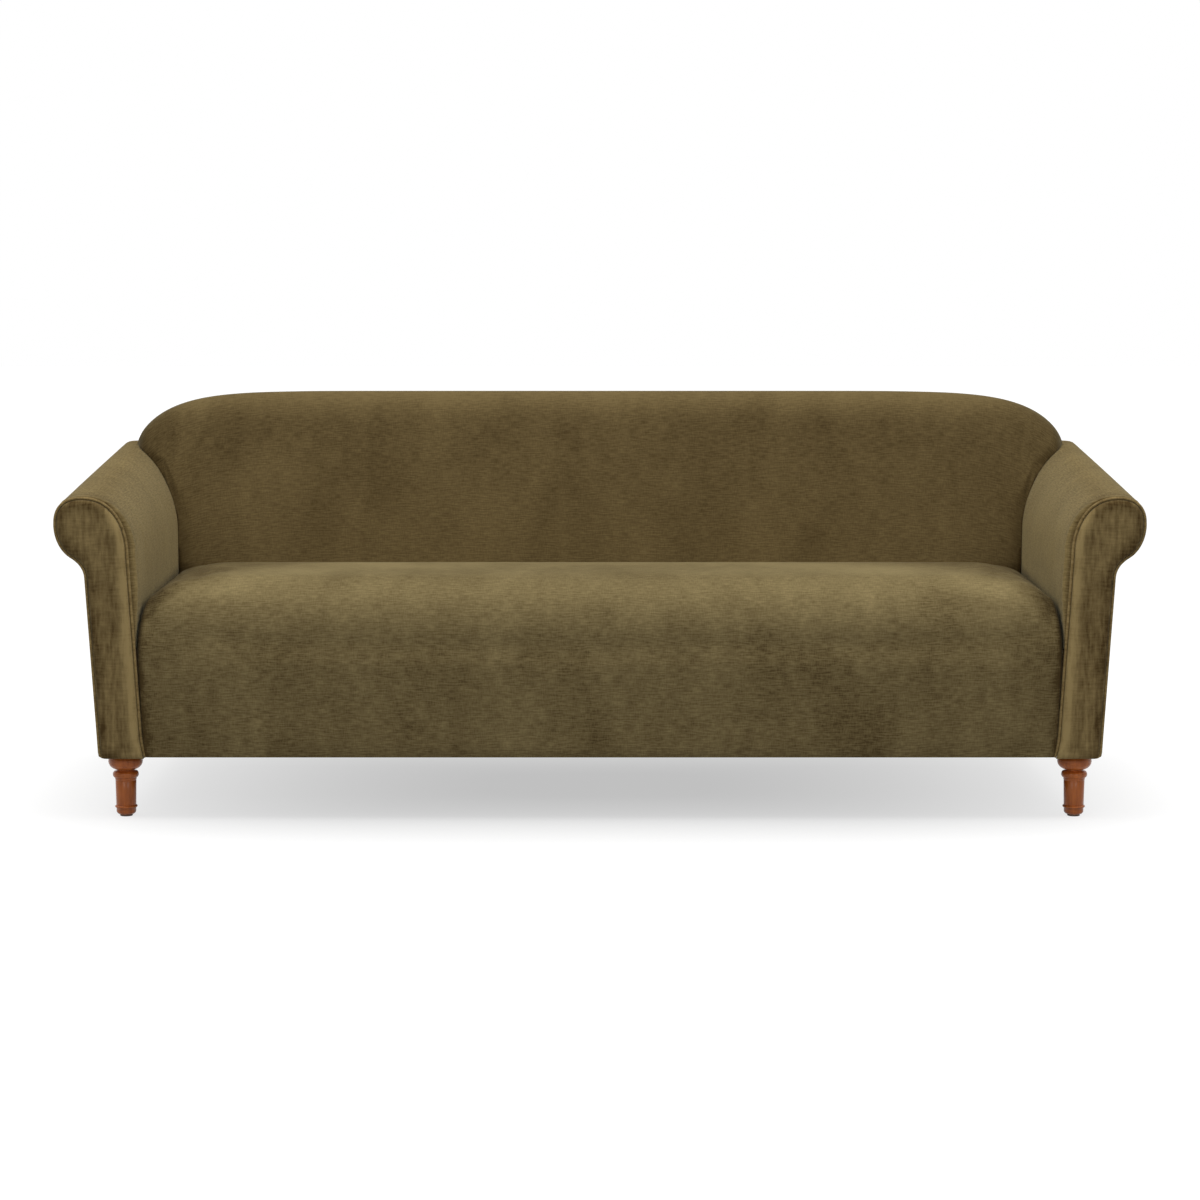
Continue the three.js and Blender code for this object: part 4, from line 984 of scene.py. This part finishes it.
BUN_RADIUS, BUN_HEIGHT = 0.035, 0.033
BUN_TOP_ANGLE = np.radians(60)
NECK_RADIUS = 0.0165
COLLAR_RADIUS, COLLAR_HEIGHT = 0.0265, 0.017
SHAFT_TOP_RADIUS, SHAFT_FOOT_RADIUS = 0.0215, 0.0203
GROOVE_DROP, GROOVE_DEPTH, GROOVE_HALF = 0.0055, 0.0010, 0.0008
RING_RADIUS, RING_HEIGHT, RING_LEVEL = 0.023, 0.005, 0.020
FOOT_RADIUS, FOOT_ROUNDING = 0.020, 0.007
GLIDE_RADIUS, GLIDE_THICKNESS, GLIDE_EDGE = 0.013, 0.0035, 0.0012
PIN_RADIUS, PIN_LEVEL, PIN_TIP = 0.0016, 0.014, 0.0156
PIN_POCKET, PIN_POCKET_RADIUS = 0.014, 0.0019
BOLT_POCKET, BOLT_POCKET_RADIUS = 0.0383, 0.0043
AXIS = 0.0001


def lathe(name, profile, sides, centre):
    """A closed turning: the profile (points of radius and height, from the axis back to the axis) is carried
    round the upright through centre."""
    angle = np.linspace(0, 2 * np.pi, sides, endpoint=False)
    radius, height = profile[:, :1], profile[:, 1:]
    grid = np.stack([centre[0] + radius * np.cos(angle), centre[1] + radius * np.sin(angle),
                     height + 0 * angle], 2)
    return Cover(name, grid, base=0.0).object


def bead(inner, outer, level, half, turn):
    """A rounded swelling about its level, from the inner radius out to the outer."""
    return np.column_stack([mix(inner, outer, np.cos(turn)), level + half * np.sin(turn)])


def leg_profile():
    """Foot rounding, ring, slightly tapered shaft with a fine groove, half-round collar, neck and bun."""
    sole, top = GLIDE_THICKNESS + GAP, BASE - GAP
    a = quarter(10)
    foot = np.column_stack([FOOT_RADIUS - FOOT_ROUNDING * (1 - np.sin(a)),
                            sole + FOOT_ROUNDING * (1 - np.cos(a))])
    b = np.linspace(-np.pi / 2, np.pi / 2, 11)
    ring = bead(FOOT_RADIUS, RING_RADIUS, RING_LEVEL, RING_HEIGHT / 2, b)
    neck_level = top - BUN_HEIGHT
    shaft_top = neck_level - COLLAR_HEIGHT
    groove = shaft_top - GROOVE_DROP
    shaft = [[SHAFT_FOOT_RADIUS, RING_LEVEL + RING_HEIGHT / 2 + 0.0004],
             [SHAFT_TOP_RADIUS - 0.0002, groove - GROOVE_HALF], [SHAFT_TOP_RADIUS - GROOVE_DEPTH, groove],
             [SHAFT_TOP_RADIUS, groove + GROOVE_HALF], [SHAFT_TOP_RADIUS + 0.0006, shaft_top - 0.0010]]
    collar_level = neck_level - 0.6 * COLLAR_HEIGHT
    collar = bead(SHAFT_TOP_RADIUS, COLLAR_RADIUS, collar_level, 0.4 * COLLAR_HEIGHT, b)
    neck = [[NECK_RADIUS + 0.0022, neck_level - 0.0026], [NECK_RADIUS + 0.0004, neck_level]]
    c = np.linspace(-np.pi / 2, BUN_TOP_ANGLE, 20)[1:]
    half = BUN_HEIGHT / (1 + np.sin(BUN_TOP_ANGLE))
    bun = bead(NECK_RADIUS, BUN_RADIUS, neck_level + half, half, c)
    return sole, top, np.concatenate([foot, ring, shaft, collar, neck, bun])


def leg(name, centre):
    """The turned leg, with a pocket for the glide's pin below and one for the hanger bolt above."""
    sole, top, outside = leg_profile()
    low = [[AXIS, sole + PIN_POCKET], [PIN_POCKET_RADIUS, sole + PIN_POCKET], [PIN_POCKET_RADIUS, sole]]
    high = [[BOLT_POCKET_RADIUS, top], [BOLT_POCKET_RADIUS, top - BOLT_POCKET], [AXIS, top - BOLT_POCKET]]
    return lathe(name, np.concatenate([low, outside, high]), 64, centre)


def glide(name, centre):
    """Nail glide: a disc with a rounded rim and its pin."""
    a = quarter(6)
    rim = np.column_stack([GLIDE_RADIUS - GLIDE_EDGE * (1 - np.sin(a)), GLIDE_EDGE * (1 - np.cos(a))])
    pin = [[GLIDE_RADIUS, GLIDE_THICKNESS], [PIN_RADIUS, GLIDE_THICKNESS], [PIN_RADIUS, PIN_LEVEL],
           [AXIS, PIN_TIP]]
    return lathe(name, np.concatenate([[[AXIS, 0]], rim, pin]), 40, centre)


# Dust cover

CLOTH_SAG = 0.004
STAPLED_MARGIN = 0.11
SAG_REACH = 0.3
CLOTH_HEM = 0.018
HEM_FOLD = 0.0003
CLOTH_INSET = 0.0001


def dust_cover():
    """Thin black cloth under the frame, with a folded hem round its edge. It sags in the middle by the power
    1.5 of the way in from the margin."""
    lo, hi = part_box("dust_cover")
    x = np.linspace(lo.x, hi.x, 120)
    y = np.linspace(lo.y, hi.y, 60)
    gx, gy = np.meshgrid(x, y, indexing="ij")
    margin = np.minimum.reduce([gx - lo.x, hi.x - gx, gy - lo.y, hi.y - gy])
    sag = CLOTH_SAG * np.clip((margin - STAPLED_MARGIN) / SAG_REACH, 0, 1) ** 1.5
    hem = HEM_FOLD * (margin < CLOTH_HEM)
    low = np.stack([gx, gy, lo.z - BASE + CLOTH_INSET - sag - hem], 2)
    high = np.stack([gx, gy, hi.z - BASE - CLOTH_INSET - sag], 2)[:, ::-1]
    return Cover("dust_cloth", np.concatenate([low, high], 1), run=x).object


# Camera

PHOTO_SIZE = 1200
FOCAL_PIXELS = 2968
CAMERA_TILT = np.radians(6.2215)
CAMERA_Y = -6.380
CAMERA_HEIGHT = 1.100


def make_camera():
    data = bpy.data.cameras.new("camera")
    data.sensor_width = 36.0
    data.lens = FOCAL_PIXELS / PHOTO_SIZE * data.sensor_width
    data.clip_start, data.clip_end = 0.1, 100
    camera = add_object("camera", data)
    camera.location = (0.0, CAMERA_Y, CAMERA_HEIGHT)
    camera.rotation_euler = (np.pi / 2 - CAMERA_TILT, 0, 0)
    bpy.context.scene.camera = camera


# Floor, backdrop and light

FLOOR_HALF = 30
FLOOR_STRETCH = (1.34, 2.2, 0.0)
FLOOR_REACH = (0.1, 3.5)
FLOOR_GLOW = (0.52, 1.0)
FLOOR_COLOURS = ((0.51, 0.51, 0.52, 1), (0.20, 0.20, 0.20, 1))
SKY_STRENGTH = 0.12


def make_floor():
    """Pale floor that is shown white in the open and keeps the sofa's shadow. The wide rim of that shadow is
    a dip in the floor's shown glow: least under the sofa, it grows with sqrt(x^4 + y^4) of the stretched
    place."""
    mesh = bpy.data.meshes.new("floor")
    corners = [(FLOOR_HALF * x, FLOOR_HALF * y, 0) for x, y in ((-1, -1), (1, -1), (1, 1), (-1, 1))]
    mesh.from_pydata(corners, [], [(0, 1, 2, 3)])
    ground = Finish("floor")
    stretched = ground.place(FLOOR_STRETCH)
    squared = ground.add("VectorMath", "Vector", {0: stretched, 1: stretched}, operation="MULTIPLY")
    away = ground.add("VectorMath", "Value", {0: squared}, operation="LENGTH")
    shown = ground.shown()
    glow = ground.times(ground.spread(away, *FLOOR_REACH, *FLOOR_GLOW), shown)
    ground.set(Base_Color=ground.blend(shown, *FLOOR_COLOURS), Roughness=0.9, Specular_IOR_Level=0.1,
               Emission_Color=(1, 1, 1, 1), Emission_Strength=glow)
    mesh.materials.append(ground.material)
    add_object("floor", mesh)


def make_world():
    """An even, dim sky that is shown white."""
    world = bpy.data.worlds.new("studio")
    bpy.context.scene.world = world
    world.use_nodes = True
    sky = Nodes(world.node_tree)
    sky.tree.nodes.clear()
    strength = sky.spread(sky.shown(), 0, 1, SKY_STRENGTH, 1)
    light = sky.add("Background", 0, {"Color": (1, 1, 1, 1), "Strength": strength})
    sky.wire(light, sky.tree.nodes.new("ShaderNodeOutputWorld").inputs["Surface"])


LAMPS = {
    "overhead": ((0.0, -0.4, 4.0), (5.0, 3.0), 68),
    "high": ((1.9, -1.9, 4.6), (2.2, 2.2), 30),
    "side": ((3.0, -0.8, 3.6), (2.0, 2.0), 32),
    "low": ((1.9, -4.9, 2.2), (1.2, 1.2), 22),
}
LAMP_TARGET = (0.0, 0.0, 0.4)


def make_lamps():
    """Area lamps: one overhead, and the others in pairs, left and right."""
    for kind, ((x, y, z), size, power) in LAMPS.items():
        pair = ((-1, f"{kind}_left"), (1, f"{kind}_right"))
        for side, name in pair if x else ((0, kind),):
            data = bpy.data.lights.new(name, "AREA")
            data.shape = "RECTANGLE"
            data.size, data.size_y = size
            data.energy = power
            lamp = add_object(name, data)
            lamp.location = (side * x, y, z)
            lamp.rotation_euler = (Vector(LAMP_TARGET) - lamp.location).to_track_quat("-Z", "Y").to_euler()


# Painted light and shade on the covers, from -1, painted shade, to 1, painted light

def seat_light_and_shade(points):
    """Painted light on the front roll and in a band round the wedges, and painted shade low in front, in a
    wedge along each arm that widens to the rear, and in the crevice beside the arm."""
    height = points[:, 2] - BASE
    beside_arm = inner_x(height) - np.abs(points[:, 0])
    reach = mix(0.05, 0.33, np.clip((points[:, 1] - FRONT - 0.04) / 0.55, 0, 1) ** 0.6)
    wedge_shade = eased(1.5 - 1.1 * beside_arm / reach) * eased((height - 0.26) / 0.04)
    band = bell(beside_arm / reach, 1.9, 0.7) * eased((height - 0.30) / 0.04)
    roll_highlight = bell(height, 0.335, 0.022) * (points[:, 1] < FRONT + SEAT_ROLL_DEPTH)
    low_front_shade = eased((0.29 - height) / 0.06)
    crevice_shade = bell(beside_arm, 0.0, 0.014)
    return 0.15 * roll_highlight + 0.35 * band - 0.22 * low_front_shade - 0.65 * wedge_shade - crevice_shade


def back_light_and_shade(points):
    """Painted light along the top roll, a little darker at mid height, and lighter again towards the seat."""
    height = points[:, 2]
    return 0.9 * bell(height, TOP + BASE, 0.045) - 0.11 + 0.40 * np.clip((0.742 - height) / 0.25, 0, 1)


def arm_light_and_shade(mesh):
    """Painted light on the inner wall, less where it faces up, and painted shade in the crease behind the
    welt and down by the seat.
    """
    points = mesh_points(mesh)
    behind_welt = points[:, 1] - ARM_FRONT
    rounding = np.sqrt(1 - np.clip(1 - (points[:, 1] - BORDER_FRONT) / SEAT_ROLL_DEPTH, 0, 1) ** 2)
    seat_edge = mix(SEAT_SIDE_FRONT, SEAT_SIDE_REAR, (points[:, 1] - FRONT) / (SEAT_BACK_Y - FRONT))
    over_seat = points[:, 2] - BASE - seat_edge + SEAT_ROLL_HEIGHT * (1 - rounding)
    inside = eased((CREST_X - points[:, 0]) / 0.03)
    facing_up = np.empty(3 * len(points), dtype=np.float32)
    mesh.vertex_normals.foreach_get("vector", facing_up)
    facing_up = np.clip(facing_up.reshape(-1, 3)[:, 2], 0, 1)
    welt_crease_shade = bell(behind_welt, 0.0, 0.006) + 0.35 * bell(behind_welt, 0.030, 0.014)
    return inside * (0.75 - facing_up) - welt_crease_shade - 1.6 * inside * eased((0.034 - over_seat) / 0.030)


STRIP_DIVIDE = 0.0075


def facing_light_and_shade(grid, inset):
    """A painted highlight along the rounding at the inner welt with a faint darker strip beside it, and
    painted shade along the rounding at the outer welt. They divide a little to the inner side of the middle.
    inset is the distance in from the arm's outline."""
    height = grid[:, :, 2]
    divide = (inner_x(height) + outer_x(height)) / 2 - STRIP_DIVIDE
    inner_side = eased(0.5 + (divide - grid[:, :, 0]) / 0.04)
    inner = bell(inset, 0.014, 0.011) - 0.25 * bell(inset, 0.042, 0.010)
    return mix(-0.7 * bell(inset, 0.012, 0.014), inner, inner_side)


# Assembly

make_camera()
make_floor()
make_world()
make_lamps()
bpy.context.scene.view_settings.view_transform = "Standard"

# One velvet in lighter and darker copies: the back's copy is darkened as painted shade, with part of it from
# its pile lying down; the arm, facing and welt copies are lightened as painted light, the welt's most, as a
# painted highlight on the cord; the seat's copy is greener.
seat_velvet = velvet("seat_velvet", shade=(1.02, 1.08, 1.15), bloom=0.10)
back_velvet = velvet("back_velvet", shade=(0.59, 0.575, 0.56))
arm_velvet = velvet("arm_velvet", shade=(1.07, 1.07, 1.03), contrast=0.6)
front_velvet = velvet("arm_front_velvet", shade=(1.10, 1.09, 1.08), streak=(150, 24), brush=(16, 3.2),
                      contrast=1.2)
welt_velvet = velvet("welt_velvet", shade=(1.35, 1.33, 1.30), streak=(200, 40), brush=(20, 20))

seat = stuffed(*seat_cover(), cap=0.006)
dress(seat, seat_velvet, "velvet", "seat_pad")
paint_light_and_shade(seat, seat_light_and_shade(mesh_points(seat.data)))

back = stuffed(*back_cover(), cap=0.006)
cutter = arm_solid(CUTTER_GAP)
left_cutter = other_side(cutter, "arm_cutter_left")
trim(back, cutter)
trim(back, left_cutter)
dress(back, back_velvet, "velvet", "back_pad")
paint_light_and_shade(back, back_light_and_shade(mesh_points(back.data)))

arm = stuffed(*arm_cover(), cap=0.003)
paint_light_and_shade(arm, arm_light_and_shade(arm.data))
for piece, side in ((arm, "right"), (other_side(arm, "arm_cover_left"), "left")):
    dress(piece, arm_velvet, "velvet", f"arm_pad_{side}")

MIRRORED = (
    (facing(), "arm_front_left", front_velvet, "arm_facing"),
    (welt(), "arm_welt_left", welt_velvet, "arm_piping"),
    (outside_arm(), "outside_arm_cover_left", arm_velvet, "outside_arm"),
)
for right_piece, left_name, material, node in MIRRORED:
    for piece, side in ((right_piece, "right"), (other_side(right_piece, left_name), "left")):
        dress(piece, material, "velvet", f"{node}_{side}")

dress(outside_back(), arm_velvet, "velvet", "outside_back")
bottom_cloth = dust_cover()
black_cloth = woven("dust_cloth", (0.012, 0.012, 0.012, 1), (0.035, 0.034, 0.033, 1), 900)
dress(bottom_cloth, black_cloth, "dust_cloth", "dust_cover")

leg_wood, nylon = turned_wood(), moulded_nylon()
for corner in ("front_right", "front_left", "rear_right", "rear_left"):
    lo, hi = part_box(f"leg_{corner}")
    centre = ((lo.x + hi.x) / 2, (lo.y + hi.y) / 2)
    dress(leg(f"turned_leg_{corner}", centre), leg_wood, "leg_wood", f"leg_{corner}")
    dress(glide(f"nail_glide_{corner}", centre), nylon, "glide_nylon", f"glide_{corner}")

jute = woven("jute_webbing", (0.24, 0.17, 0.09, 1), (0.48, 0.37, 0.22, 1), 300)
HIDDEN_FINISHES = {"frame_wood": sawn_wood(), "spring_steel": drawn_steel(), "webbing": jute}
slots = {part["node"]: part["material_slot"] for part in frame["record"]["subparts"]}
for node, solid in frame["nodes"].items():
    if slots[node] in HIDDEN_FINISHES:
        solid.data.materials.clear()
        solid.data.materials.append(HIDDEN_FINISHES[slots[node]])
